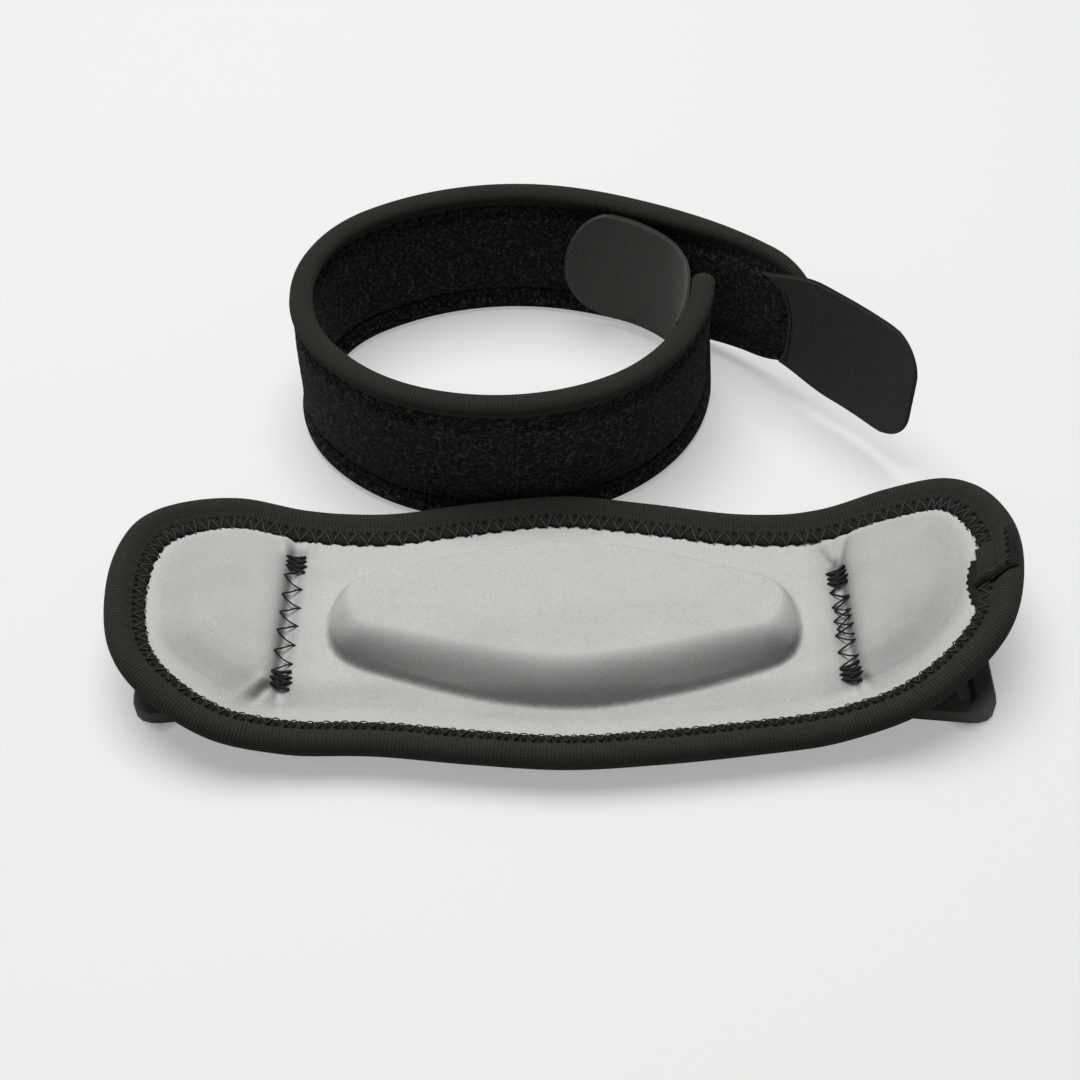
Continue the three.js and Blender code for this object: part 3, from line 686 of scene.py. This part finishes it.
def calc(nodes, links, operation, *operands):
    """A math node's result: each operand is a number or another node's output."""
    node = nodes.new("ShaderNodeMath")
    node.operation = operation
    for socket, operand in zip(node.inputs, operands):
        feed(links, operand, socket)
    return node.outputs[0]


def remap(nodes, links, value, start, stop, low=0.0, high=1.0):
    """Runs from low to high while a value goes from start to stop."""
    node = nodes.new("ShaderNodeMapRange")
    for socket, number in (("From Min", start), ("From Max", stop), ("To Min", low), ("To Max", high)):
        node.inputs[socket].default_value = number
    links.new(value, node.inputs["Value"])
    return node.outputs["Result"]


def rib_group():
    group, nodes, links, start, finish = new_group("rib_knit", ("Pitch",), ("Ribs", "Loops"))
    split = nodes.new("ShaderNodeSeparateXYZ")
    links.new(start.outputs["Place"], split.inputs["Vector"])

    def wave(axis, stretch):
        turns = calc(nodes, links, "DIVIDE", split.outputs[axis], start.outputs["Pitch"])
        angle = calc(nodes, links, "MULTIPLY", turns, 2 * math.pi * stretch)
        return calc(nodes, links, "MULTIPLY_ADD", calc(nodes, links, "SINE", angle), 0.5, 0.5)

    ribs = wave("X", 1.0)
    links.new(ribs, finish.inputs["Ribs"])
    links.new(calc(nodes, links, "MULTIPLY", ribs, wave("Y", 1.3)), finish.inputs["Loops"])
    return group


RIBS = rib_group()


def rib_knit(name, pitch, dark, light):
    """The knit's material with painted shade on its flaps, and the mask of that painted shade, low on its
    flaps.
    """
    finish, nodes, links, shader = fabric_or_plastic(name, 0.9, sheen=0.03, specular=0.13)
    grain = add_grain(nodes, links, 3600.0, 160.0)
    where = nodes.new("ShaderNodeUVMap")
    where.uv_map = "UVMap"
    ribs = add_group(nodes, links, RIBS, where.outputs["UV"], Pitch=pitch * MM)
    mixed = calc(nodes, links, "MULTIPLY_ADD", grain.outputs["Grain"], 1.6, ribs.outputs["Ribs"])
    knit_tone = two_tones(nodes, links, mixed, 0.6, 1.9, dark, light)
    split = nodes.new("ShaderNodeSeparateXYZ")
    links.new(where.outputs["UV"], split.inputs["Vector"])
    off_middle = calc(nodes, links, "SUBTRACT", split.outputs["Y"], TAPE_MIDDLE * MM)
    either_side = calc(nodes, links, "ABSOLUTE", off_middle)
    # painted shade: the flaps, to either side of the tape's middle, are darkened
    flap = remap(nodes, links, either_side, FLAP_START * MM, (FLAP_START + 1) * MM, 1.0, FLAP_SHADE)
    shaded = blend(nodes, links, knit_tone, flap)
    # painted shade: near-black spots for the needle holes, in a row where the flap starts
    off_row = calc(nodes, links, "SUBTRACT", either_side, (FLAP_START + 0.5) * MM)
    from_row = calc(nodes, links, "ABSOLUTE", off_row)
    in_row = remap(nodes, links, from_row, 0.3 * NEEDLE_HOLE * MM, NEEDLE_HOLE * MM, 1.0, 0.0)
    stitches = add_group(nodes, links, RIBS, where.outputs["UV"], Pitch=STITCH_PITCH / 2 * MM)
    hole = remap(nodes, links, stitches.outputs["Ribs"], 0.25, 0.65)
    painted_hole_shade = calc(nodes, links, "MULTIPLY", in_row, hole)
    with_painted_hole_shade = blend(nodes, links, shaded, (0.001, 0.001, 0.001, 1), painted_hole_shade)
    rib_bump = add_bump(nodes, links, ribs.outputs["Ribs"], 0.00012, 0.6)
    loop_bump = add_bump(nodes, links, ribs.outputs["Loops"], 0.0001, 0.4, rib_bump)
    fuzz = add_bump(nodes, links, grain.outputs["Grain"], 0.00012, 0.5, loop_bump)
    dress(links, shader, with_painted_hole_shade, fuzz)
    return finish, flap


tape_cloth = rib_knit("rib_knit_tape", RIB_PITCH, (0.003, 0.003, 0.0029), (0.028, 0.028, 0.0268))[0]


def tape_section(t):
    ring, gone = measured(closed_curve(TAPE_LOOP, 8))
    return along_loop(ring, gone, t * gone[-1]).T


def tape_relief(distance, depth, height):
    """Puckers where the stitches pull the tape's inner edge down."""
    turn = 2 * math.pi * distance / STITCH_PITCH
    edge = step_up((depth - 4.2) / 2) * np.sign(height)
    depth = depth + np.abs(edge) * (0.16 * np.sin(turn) + 0.07 * np.sin(2.3 * turn + 1))
    height = height + edge * (0.07 * np.cos(turn) + 0.05 * np.sin(0.37 * turn))
    groove = np.exp(-(((depth - GROOVE_DEPTH) / GROOVE_HALF) ** 2))
    dimple = groove * step_up(0.5 + 0.5 * np.cos(turn + 0.8))
    height = height - 0.32 * dimple * np.sign(height)
    roll = (1 - np.abs(edge)) * step_up((depth - 1.5) / 2)
    return depth, height + np.sign(height) * roll * 0.05 * np.sin(0.21 * turn + 0.6 * np.sin(0.05 * turn))


def tape(name, stations, around, length, place, finish):
    """The tape's section carried round a closed edge: place(distance, depth, height) in metres."""
    bm = grid_mesh(stations, around, length * MM, TAPE_WIDTH * MM)
    verts = list(bm.verts)
    s, t = shares(verts)
    distance = np.mod(s, 1) * length
    depth, height = tape_section(np.mod(t, 1))
    put(verts, place(distance, *tape_relief(distance, depth, height)))
    bmesh.ops.remove_doubles(bm, verts=bm.verts, dist=1e-7)
    bmesh.ops.recalc_face_normals(bm, faces=bm.faces)
    return finish_piece(name, bm, finish, sharp=0)


def on_cuff_edge(distance, depth, height):
    in_plan = inward(CUFF_LOOP, CUFF_GONE, distance)
    wider = FLAP_GROWTH - FLAP_GROWTH_BEHIND * in_plan[:, 1]
    depth = depth + wider * np.maximum(depth - FLAP_GROWTH_START, 0)
    plan = along_loop(CUFF_LOOP, CUFF_GONE, distance) + depth[:, None] * in_plan
    return bent(plan[:, 0], plan[:, 1], height)


cuff_tape = tape("cuff_tape", 1500, 34, CUFF_GONE[-1], on_cuff_edge, tape_cloth)
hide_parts("pad_binding")


# depths of the zigzag's corners, how far they stray, and how high the thread lies at each depth
ZIGZAG_CORNERS = (4.7, 6.75)
ZIGZAG_STRAY = 0.18
ZIGZAG_SWAY = 0.12
ZIGZAG_DEPTHS = [4.4, 5.2, 6.1, 6.5, 6.8]
ZIGZAG_HEIGHTS = [1.5, 1.72, 1.72, 1.5, 1.15]
ZIGZAG_LIFT = 0.04
ZIGZAG_THREAD = 0.12


def zigzag(length, seed):
    """Distances, depths and heights of the zigzag that sews the tape down."""
    turns = 2 * round(length / STITCH_PITCH)
    chance = np.random.default_rng(seed)
    corner = np.arange(turns + 1)
    depth = np.where(corner % 2, ZIGZAG_CORNERS[1], ZIGZAG_CORNERS[0])
    depth = depth + chance.uniform(-ZIGZAG_STRAY, ZIGZAG_STRAY, turns + 1)
    depth[-1] = depth[0]
    across = corner + chance.uniform(-ZIGZAG_SWAY, ZIGZAG_SWAY, turns + 1)
    across[0], across[-1] = 0, turns
    fine = np.arange(0, turns, 0.25)
    distance = np.interp(fine, corner, across) * length / turns
    depth = np.interp(fine, corner, depth)
    return distance, depth, np.interp(depth, ZIGZAG_DEPTHS, ZIGZAG_HEIGHTS) + ZIGZAG_LIFT


# painted highlight: this copy of the black thread is lighter, standing in for the light its zigzag
# catches on the tape
tape_thread_painted_highlight = sewing_thread("tape_thread_painted_highlight", 0.6, 0.35, (0.018, 0.018, 0.0175), (0.075, 0.075, 0.072))
distance, depth, height = zigzag(CUFF_GONE[-1], 21)
cuff_strands = [on_cuff_edge(distance, depth, height)]
thread("cuff_zigzag", cuff_strands, ZIGZAG_THREAD, tape_thread_painted_highlight, closed=True)


# Tape end: the binding starts and stops at the right end of the cuff. Its last stretch is folded
# over the first one on a slant, with a thick crease in front, and the raw start pokes in over the
# lining as a short dark strip.
FOLD_WIDTH = 10.5
FOLD_REACH = 7.2
FOLD_SLANT = 0.66
FOLD_MIDDLE = (83.0, 7.0)
FOLD_EDGE = 0.35
FOLD_LIFT = 0.6
# each as a place and a width, in shares of the fold's width, and a height
FOLD_CREASE = (0.9, 0.07, 0.9)
FOLD_DIP = (0.72, 0.09, 0.35)
FOLD_START = CUFF_GONE[np.hypot(*(CUFF_LOOP - FOLD_MIDDLE).T).argmin()]
TAPE_DEPTHS = [depth for depth, _ in TAPE_OUTSIDE[::-1]] + [7.4]
TAPE_HEIGHTS = [height for _, height in TAPE_OUTSIDE[::-1]] + [1.6]


def fold_face(s, t, side):
    depth = FOLD_EDGE + (FOLD_REACH - FOLD_EDGE) * t
    across = FOLD_WIDTH * (s - 0.5)
    distance = FOLD_START + across + FOLD_SLANT * depth + 0.25 * np.sin(5 * t)
    edge = np.minimum(np.minimum(s, 1 - s) * FOLD_WIDTH, np.minimum(t, 1 - t) * FOLD_REACH)
    crease, dip = (high * np.exp(-(((s - at) / half) ** 2)) for at, half, high in (FOLD_CREASE, FOLD_DIP))
    lift = FOLD_LIFT + 0.5 * s + crease * step_up(t * 2) - dip - 0.45 * (1 - step_up(edge / 0.7))
    top = np.interp(depth, TAPE_DEPTHS, TAPE_HEIGHTS) + lift
    thickness = 0.25 + 0.5 * step_up(edge / 0.5)
    return on_cuff_edge(distance, depth, top if side > 0 else top - thickness)


tape_end = slab("tape_end", 56, 36, (0.0105, 0.007), fold_face, tape_cloth)
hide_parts("pad_binding_end")


# the raw start's front end, its width along the tape, its free edge and how far it reaches under
RAW_FRONT = -4.6
RAW_WIDTH = 10.4
RAW_EDGE = 74.1
RAW_REACH = 4.3


def raw_face(s, t, side):
    y = RAW_FRONT + RAW_WIDTH * s
    ragged = 0.18 * np.sin(y * 4.1) + 0.12 * np.sin(y * 9.7 + 1)
    x = RAW_EDGE - 1.1 * np.sin(math.pi * s) ** 0.6 + ragged * (1 - t) + RAW_REACH * t + 0.1 * y
    edge = np.minimum(np.minimum(s, 1 - s) * 11, t * 4)
    top = lining_top(x, y) + 0.25 + 0.35 * step_up(edge / 0.5) + 0.12 * np.sin(y * 1.3)
    return bent(x, y, top if side > 0 else top - 0.2 - 0.3 * step_up(edge / 0.5))


slab("raw_start", 60, 18, (0.011, 0.004), raw_face, tape_cloth)


# Strap band: thin foam with black loop pile on both faces, standing on its edge in an open ring.
# Its far end comes up off the table and narrows to a round end under the long tab.
BAND_LENGTH = 251.5
BAND_HEIGHT = 32
BAND_EDGE_THICKNESS = 2.3
PILE_RISE = 0.65
# the pile rises over this length, and starts a little under the tape along the sides
PILE_SHOULDER = 1.6
PILE_UNDER_TAPE = 0.7
NEAR_END_RADIUS = 7
FAR_END_RADIUS = 13.5
FAR_END_LIFT = 4
FAR_END_NARROWING = 0.14
FAR_LIFT_START = 204
FAR_LIFT_LENGTH = 46
SHORT_TAB_REACH = 40
LONG_TAB_REACH = 27.4
# the near end leans out and stands up over its first stretch, from these heights upwards in full
NEAR_END_LEAN = 1.5
NEAR_END_RISE = 1.1
NEAR_END_START = -4
NEAR_END_STRETCH = 45
LEAN_HEIGHT = 14
RISE_HEIGHT = 10
NEAR_END_X = 29.8
NEAR_END_HEADING = -89.4
# each arc's share of the length and its turn in degrees
BAND_ARCS = [
    (0.114, -43),
    (0.08, -28),
    (0.12, -36),
    (0.096, -36),
    (0.096, -48),
    (0.088, -47),
    (0.176, -45),
    (0.167, -30),
    (0.063, 0),
]
LONG_TAB_ARCS = [(0.25, 0), (0.75, -12)]
SHORT_TAB_ARCS = [(0.32, 41), (0.35, 28), (0.33, 46)]
TRACE = 0.25


def trace_arcs(arcs, heading):
    """Points and headings every quarter of a millimetre along a chain of arcs, and straight on."""
    turns = [np.full(round(length / TRACE), math.radians(turn) * TRACE / length) for length, turn in arcs]
    headings = heading + np.cumsum(np.concatenate([*turns, np.zeros(80)]))
    x = np.cumsum(np.cos(headings)) * TRACE
    y = np.cumsum(np.sin(headings)) * TRACE
    return x, y, headings


start_heading = math.radians(NEAR_END_HEADING)
forward = [(share * BAND_LENGTH, turn) for share, turn in BAND_ARCS]
forward += [(share * LONG_TAB_REACH, turn) for share, turn in LONG_TAB_ARCS]
ahead_x, ahead_y, ahead_heading = trace_arcs(forward, start_heading)
backward = [(share * SHORT_TAB_REACH, turn) for share, turn in SHORT_TAB_ARCS]
behind_x, behind_y, behind_heading = trace_arcs(backward, start_heading + math.pi)
TRACE_ALONG = np.arange(-len(behind_x), len(ahead_x) + 1) * TRACE
TRACE_X = np.concatenate([behind_x[::-1], [0], ahead_x])
TRACE_Y = np.concatenate([behind_y[::-1], [0], ahead_y])
headings = np.concatenate([behind_heading[::-1] + math.pi, [start_heading], ahead_heading])
TRACE_HEADING = np.unwrap(headings)
HALF_TAPE = CHANNEL_HALF + 1
on_band = (TRACE_ALONG > 0) & (TRACE_ALONG < BAND_LENGTH)
back_edge = (TRACE_Y + HALF_TAPE * np.cos(TRACE_HEADING))[on_band].max()
STRAP_X = NEAR_END_X + CUFF_X
STRAP_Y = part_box("strap_binding")[1][1] / MM - back_edge


def far_share(along):
    return step_up((along - FAR_LIFT_START) / FAR_LIFT_LENGTH)


def on_strap(along, height, outward):
    heading = np.interp(along, TRACE_ALONG, TRACE_HEADING)
    x = np.interp(along, TRACE_ALONG, TRACE_X) - outward * np.sin(heading) + STRAP_X
    y = np.interp(along, TRACE_ALONG, TRACE_Y) + outward * np.cos(heading) + STRAP_Y
    near = 1 - step_up((along - NEAR_END_START) / NEAR_END_STRETCH)
    x = x - NEAR_END_LEAN * near * np.clip(height / LEAN_HEIGHT, 0, 1)
    z = height + NEAR_END_RISE * near * np.clip(height / RISE_HEIGHT, 0, 1)
    return np.stack([x, y, z + FAR_END_LIFT * far_share(along)], axis=1) * MM


def on_band_face(along, height, outward):
    middle = BAND_HEIGHT / 2
    width = 1 - FAR_END_NARROWING * far_share(along)
    return on_strap(along, middle + (height - middle) * width, outward)


def cut_back(distance, radius):
    short = np.clip(radius - distance, 0, radius)
    return radius - np.sqrt(radius * radius - short * short)


def pile_face(s, t, side):
    height = EDGE_INSET + (BAND_HEIGHT - 2 * EDGE_INSET) * t
    edge = np.minimum(height, BAND_HEIGHT - height) - EDGE_INSET
    start = EDGE_INSET + cut_back(edge, NEAR_END_RADIUS - EDGE_INSET)
    finish = BAND_LENGTH - EDGE_INSET - cut_back(edge, FAR_END_RADIUS - EDGE_INSET)
    along = start + (finish - start) * s
    from_sides = np.minimum(height, BAND_HEIGHT - height) - BINDING_REACH + PILE_UNDER_TAPE
    from_ends = np.minimum(along, BAND_LENGTH - along) - BINDING_REACH
    pile = step_up(np.minimum(from_sides, from_ends) / PILE_SHOULDER)
    tufts = 0.07 * np.sin(along * 2.9 + 3 * np.sin(height * 1.7)) * np.sin(height * 3.3 + along)
    drift = 0.12 * np.sin(along * 0.23 + height * 0.31) + 0.06 * np.sin(along * 0.71 - height * 0.5)
    outward = BAND_EDGE_THICKNESS / 2 + pile * (PILE_RISE + 0.05 + tufts + drift)
    return on_band_face(along, height, side * outward)


def pile_group():
    group, nodes, links, start, finish = new_group("pile_loops", (), ("Loops", "Lint"), ("Tone",))
    grain = add_group(nodes, links, GRAIN, start.outputs["Place"], Fine=3300.0, Coarse=1100.0)
    loops = nodes.new("ShaderNodeTexVoronoi")
    loops.inputs["Scale"].default_value = 1900.0
    links.new(start.outputs["Place"], loops.inputs["Vector"])
    lint = calc(nodes, links, "MULTIPLY", grain.outputs["Grain"], grain.outputs["Cloud"])
    tone = two_tones(nodes, links, lint, 0.24, 0.42, (0.003, 0.003, 0.003), (0.095, 0.095, 0.091))
    links.new(tone, finish.inputs["Tone"])
    links.new(loops.outputs["Distance"], finish.inputs["Loops"])
    links.new(grain.outputs["Grain"], finish.inputs["Lint"])
    return group


PILE_LOOPS = pile_group()


loop_pile, nodes, links, shader = fabric_or_plastic("loop_pile", 1.0, sheen=0.08, specular=0.1)
place = nodes.new("ShaderNodeTexCoord")
pile = add_group(nodes, links, PILE_LOOPS, place.outputs["Object"])
loop_bump = add_bump(nodes, links, pile.outputs["Loops"], 0.0005, 0.9)
bump = add_bump(nodes, links, pile.outputs["Lint"], 0.0005, 0.8, loop_bump)
dress(links, shader, pile.outputs["Tone"], bump)

strap_pile = slab("strap_pile", 900, 40, (0.25, 0.03), pile_face, loop_pile)
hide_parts("strap_band")


# Strap binding: the same rib-knit tape folded over all four edges of the band, with its zigzag on
# both faces. It turns the round corners of both ends in one length.
def band_outline():
    quarter = np.linspace(0, math.pi / 2, 24)
    near, far = NEAR_END_RADIUS, FAR_END_RADIUS
    corners = [
        (near, BAND_HEIGHT - near, math.pi, near),
        (BAND_LENGTH - far, BAND_HEIGHT - far, math.pi / 2, far),
        (BAND_LENGTH - far, far, 0, far),
        (near, near, -math.pi / 2, near),
    ]
    points = []
    for x, y, start, radius in corners:
        angle = start - quarter
        points.append(np.stack([x + radius * np.cos(angle), y + radius * np.sin(angle)], axis=1))
    return measured(np.concatenate(points))


BAND_LOOP, BAND_GONE = band_outline()
# the strap's tape is folded less far in than the cuff's and lies flatter
STRAP_TAPE_SHARE = 0.86
STRAP_TAPE_FLATNESS = 0.94
# its inner side is pressed flat under the long tab
PRESSED_START = 212
PRESSED_LENGTH = 28
PRESSED_SHARE = 0.5
# between these heights the ribs give way to pile
LINT_HEIGHTS = (13, 8)


def on_band_edge(distance, depth, height):
    flat = along_loop(BAND_LOOP, BAND_GONE, distance)
    flat = flat + STRAP_TAPE_SHARE * depth[:, None] * inward(BAND_LOOP, BAND_GONE, distance, 0.4)
    pressed = PRESSED_SHARE * step_up((flat[:, 0] - PRESSED_START) / PRESSED_LENGTH)
    left = np.where(height < 0, 1 - pressed, 1)
    return on_band_face(flat[:, 0], flat[:, 1], STRAP_TAPE_FLATNESS * height * left)


# loops of the pile cover the tape's flaps and its lower edge, so only the bead shows its ribs
strap_knit, flap = rib_knit("strap_knit_tape", RIB_PITCH, (0.0025, 0.0025, 0.0024), (0.024, 0.024, 0.023))
nodes, links = strap_knit.node_tree.nodes, strap_knit.node_tree.links
base = nodes["Principled BSDF"].inputs["Base Color"]
place = nodes.new("ShaderNodeTexCoord")
pile = add_group(nodes, links, PILE_LOOPS, place.outputs["Object"])
split = nodes.new("ShaderNodeSeparateXYZ")
links.new(place.outputs["Object"], split.inputs["Vector"])
low = remap(nodes, links, split.outputs["Z"], LINT_HEIGHTS[0] * MM, LINT_HEIGHTS[1] * MM)
under = remap(nodes, links, flap, 1.0, FLAP_SHADE)
covered = calc(nodes, links, "MAXIMUM", low, under)
links.new(blend(nodes, links, base.links[0].from_socket, pile.outputs["Tone"], covered), base)

strap_tape = tape("strap_tape", 1900, 30, BAND_GONE[-1], on_band_edge, strap_knit)
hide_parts("strap_binding")
strap_strands = []
for side, seed in ((1, 31), (-1, 32)):
    distance, depth, height = zigzag(BAND_GONE[-1], seed)
    strap_strands.append(on_band_edge(distance, depth, side * height))
strap_thread = sewing_thread("strap_thread", 0.7, 0.25, (0.008, 0.008, 0.008), (0.036, 0.036, 0.035))
thread("strap_zigzag", strap_strands, ZIGZAG_THREAD, strap_thread, closed=True)


# Tabs: smooth dark grey hook tape, cut with round ends and sewn along a curved seam to the inner
# side of each end of the band. They are thin and springy, with clean cut edges.
TAB_THICKNESS = 0.8
TAB_HEIGHT = 27.4
TAB_LOW = (BAND_HEIGHT - TAB_HEIGHT) / 2
TAB_CUT_EDGE = 0.6
# the seam's radius above and below, its deepest cut below, then how deep the tab's face lies
SHORT_TAB_SEAM = (12, 12, 12, 2.6)
LONG_TAB_SEAM = (18.5, 12, 4, 1.1)
SHORT_TAB_OVERLAP = 8
LONG_TAB_OVERLAP = 5
SHORT_TAB_END_RADIUS = 13
LONG_TAB_END_RADIUS = 9
LONG_TAB_TUCK = 4.6
# how far below the middle the seam turns away upwards and downwards
SEAM_TURNS = (2, 4)
# where the tuck ends, before the seam, and over what length it fades, above and below
TUCK_ABOVE = (11, 18)
TUCK_BELOW = (4, 16)
TAB_STITCHES = 90
TAB_STITCH_LOW = 3.5
TAB_STITCH_HIGH = 6
TAB_STITCH_INSET = 0.8
TAB_THREAD = 0.16


def seam_start(seam, seam_along, direction, height):
    above, below, low_cut = seam[:3]
    up = np.clip(height - BAND_HEIGHT / 2 + SEAM_TURNS[0], 0, above - 0.2)
    down = np.clip(BAND_HEIGHT / 2 - SEAM_TURNS[1] - height, 0, below - 0.2)
    cut = above - np.sqrt(above**2 - up**2) + (below - np.sqrt(below**2 - down**2)) * low_cut / below
    return seam_along - direction * cut


def tab(name, seam, seam_along, end_along, end_radius, tuck, finish):
    """A tab from its seam to its round end. The tuck narrows it at the seam, mostly from above."""
    direction = math.copysign(1, end_along - seam_along)
    cut = []

    def face(s, t, side):
        row = (1 - np.cos(math.pi * t)) / 2
        height = TAB_LOW + TAB_HEIGHT * row
        start = seam_start(seam, seam_along, direction, height)
        stop = end_along - direction * cut_back(TAB_HEIGHT * np.minimum(row, 1 - row), end_radius)
        column = (1 - np.cos(math.pi * s)) / 2
        along = start + (stop - start) * column
        above, below = (1 - step_up((along - seam_along + a) / b) for a, b in (TUCK_ABOVE, TUCK_BELOW))
        height = height - tuck * row**2 * above + 0.5 * tuck * (1 - row) ** 4 * below
        edge = np.minimum(TAB_HEIGHT * np.minimum(row, 1 - row), np.abs(stop - along))
        edge = np.minimum(edge, np.abs(along - start) + 0.2)
        cut.append(1 - step_up(edge / TAB_CUT_EDGE))
        rounded = 0.3 * cut[-1]
        depth = seam[-1] + (TAB_THICKNESS - rounded if side < 0 else rounded)
        return on_strap(along, height, -depth)

    piece = slab(name, 70, 44, (0.04, 0.0274), face, finish)
    # painted shade: a mask along the tab's cut rims, which its material darkens
    painted_rim_shade = piece.data.attributes.new("painted_rim_shade", "FLOAT", "POINT")
    painted_rim_shade.data.foreach_set("value", np.concatenate(cut))
    return piece


def hook_tape(name, dark, light):
    finish, nodes, links, shader = fabric_or_plastic(name, 0.8, sheen=0.08, specular=0.2)
    grain = add_grain(nodes, links, 4200.0, 230.0)
    # painted shade: the tab's cut rims are darkened to as little as 0.3 of the tone
    painted_rim_shade = nodes.new("ShaderNodeAttribute")
    painted_rim_shade.attribute_name = "painted_rim_shade"
    tone = two_tones(nodes, links, grain.outputs["Grain"], 0.3, 0.72, dark, light)
    shade = two_tones(nodes, links, painted_rim_shade.outputs["Fac"], 0.2, 1.0, (1, 1, 1), (0.3, 0.3, 0.3))
    bump = add_bump(nodes, links, grain.outputs["Grain"], 0.00015, 0.6)
    dress(links, shader, blend(nodes, links, tone, shade), bump)
    return finish


# painted light: the short tab's copy of the hook tape is lighter than the long tab's, standing in for
# light falling on it
short_hook_painted_light = hook_tape("short_hook_tape", (0.062, 0.062, 0.061), (0.15, 0.15, 0.146))
long_hook = hook_tape("long_hook_tape", (0.024, 0.024, 0.0235), (0.064, 0.064, 0.062))
inner_end = (-SHORT_TAB_REACH, SHORT_TAB_END_RADIUS)
inner_tab = tab("short_hook_tab", SHORT_TAB_SEAM, SHORT_TAB_OVERLAP, *inner_end, 0, short_hook_painted_light)
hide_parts("short_tab")
outer_seam = BAND_LENGTH - LONG_TAB_OVERLAP
outer_end = (BAND_LENGTH + LONG_TAB_REACH, LONG_TAB_END_RADIUS)
outer_tab = tab("long_hook_tab", LONG_TAB_SEAM, outer_seam, *outer_end, LONG_TAB_TUCK, long_hook)
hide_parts("long_tab")
stitch_high = TAB_LOW + TAB_HEIGHT - TAB_STITCH_HIGH
stitch_height = np.linspace(TAB_LOW + TAB_STITCH_LOW, stitch_high, TAB_STITCHES)
stitch_along = seam_start(LONG_TAB_SEAM, outer_seam, 1, stitch_height) + TAB_STITCH_INSET
stitch_depth = LONG_TAB_SEAM[-1] + TAB_THICKNESS + 0.12 * np.sin(np.arange(TAB_STITCHES) * 1.9)
tab_strands = [on_strap(stitch_along, stitch_height, -stitch_depth)]
thread("tab_stitching", tab_strands, TAB_THREAD, thread_black)


# Table, light and camera: a plain pale surface under a large soft light from above and behind,
# with a weak fill, and the camera at the photograph's angle.
LOOK_LEFT = 4.5
LOOK_BEHIND = 27.4
TARGET = ((CUFF_X - LOOK_LEFT) * MM, (CUFF_Y + LOOK_BEHIND) * MM, 0)
CAMERA_DISTANCE = 0.355
CAMERA_ELEVATION = math.radians(48)
CAMERA_LENS = 60
CAMERA_SENSOR = 36
ROOM_LIGHT = 0.13
# the surface is whitened for the camera, except in a long patch round each slot that is left as painted
# shade
WHITENING = 0.36
SLOT_FROM_END = 5.4
SLOT_SHADE_FORWARD = 7.5
SLOT_SHADE_RADII = (3.5, 6)
SLOT_SHADE_SQUEEZE = 0.5

bm = bmesh.new()
bmesh.ops.create_grid(bm, x_segments=1, y_segments=1, size=3.0)
floor_mesh = bpy.data.meshes.new("table_top")
bm.to_mesh(floor_mesh)
bm.free()
table_top = in_scene("table_top", floor_mesh)
paper, nodes, links, shader = fabric_or_plastic("pale_paper", 0.9, specular=0.1)
shader.inputs["Base Color"].default_value = (0.49, 0.49, 0.49, 1)
shader.inputs["Emission Color"].default_value = (1, 1, 1, 1)
seen = nodes.new("ShaderNodeLightPath")
whitened = calc(nodes, links, "MULTIPLY", seen.outputs["Is Camera Ray"], WHITENING)
# painted shade: the whitening is withheld round each slot, so the surface seen through the plate's slots
# stays dark
place = nodes.new("ShaderNodeTexCoord")
under_slots = place.outputs["Object"]
slot_x = (plate_high[0] - plate_low[0]) / 2 - SLOT_FROM_END * MM
for operation, operand in (
    ("SUBTRACT", (CUFF_X * MM, (CUFF_Y - SLOT_SHADE_FORWARD) * MM, 0)),
    ("ABSOLUTE", (0, 0, 0)),
    ("MULTIPLY", (1, SLOT_SHADE_SQUEEZE, 1)),
    ("DISTANCE", (slot_x, 0, 0)),
):
    step = nodes.new("ShaderNodeVectorMath")
    step.operation = operation
    step.inputs[1].default_value = operand
    links.new(under_slots, step.inputs[0])
    under_slots = step.outputs["Value" if operation == "DISTANCE" else "Vector"]
lit = remap(nodes, links, under_slots, SLOT_SHADE_RADII[0] * MM, SLOT_SHADE_RADII[1] * MM)
links.new(calc(nodes, links, "MULTIPLY", lit, whitened), shader.inputs["Emission Strength"])
wear(table_top, paper)


def soft_light(name, place, size, power):
    light = bpy.data.lights.new(name, "AREA")
    light.shape = "DISK"
    light.size = size
    light.energy = power
    holder = in_scene(name, light)
    holder.location = place
    facing = np.array(TARGET) - np.array(place)
    holder.rotation_euler = (
        math.atan2(math.hypot(facing[0], facing[1]), -facing[2]),
        0,
        math.atan2(facing[1], facing[0]) - math.pi / 2,
    )


soft_light("key_light", (-0.1, 0.2, 0.94), 0.75, 9.7)
soft_light("fill_light", (-0.5, -0.7, 0.9), 0.9, 0.5)
world = bpy.data.worlds.new("soft_room")
world.use_nodes = True
world.node_tree.nodes["Background"].inputs["Color"].default_value = (1, 1, 1, 1)
world.node_tree.nodes["Background"].inputs["Strength"].default_value = ROOM_LIGHT
bpy.context.scene.world = world
bpy.context.scene.view_settings.view_transform = "Standard"

camera = bpy.data.cameras.new("camera")
camera.lens = CAMERA_LENS
camera.sensor_width = CAMERA_SENSOR
holder = in_scene("camera", camera)
holder.location = (
    TARGET[0],
    TARGET[1] - CAMERA_DISTANCE * math.cos(CAMERA_ELEVATION),
    CAMERA_DISTANCE * math.sin(CAMERA_ELEVATION),
)
holder.rotation_euler = (math.pi / 2 - CAMERA_ELEVATION, 0, 0)
bpy.context.scene.camera = holder
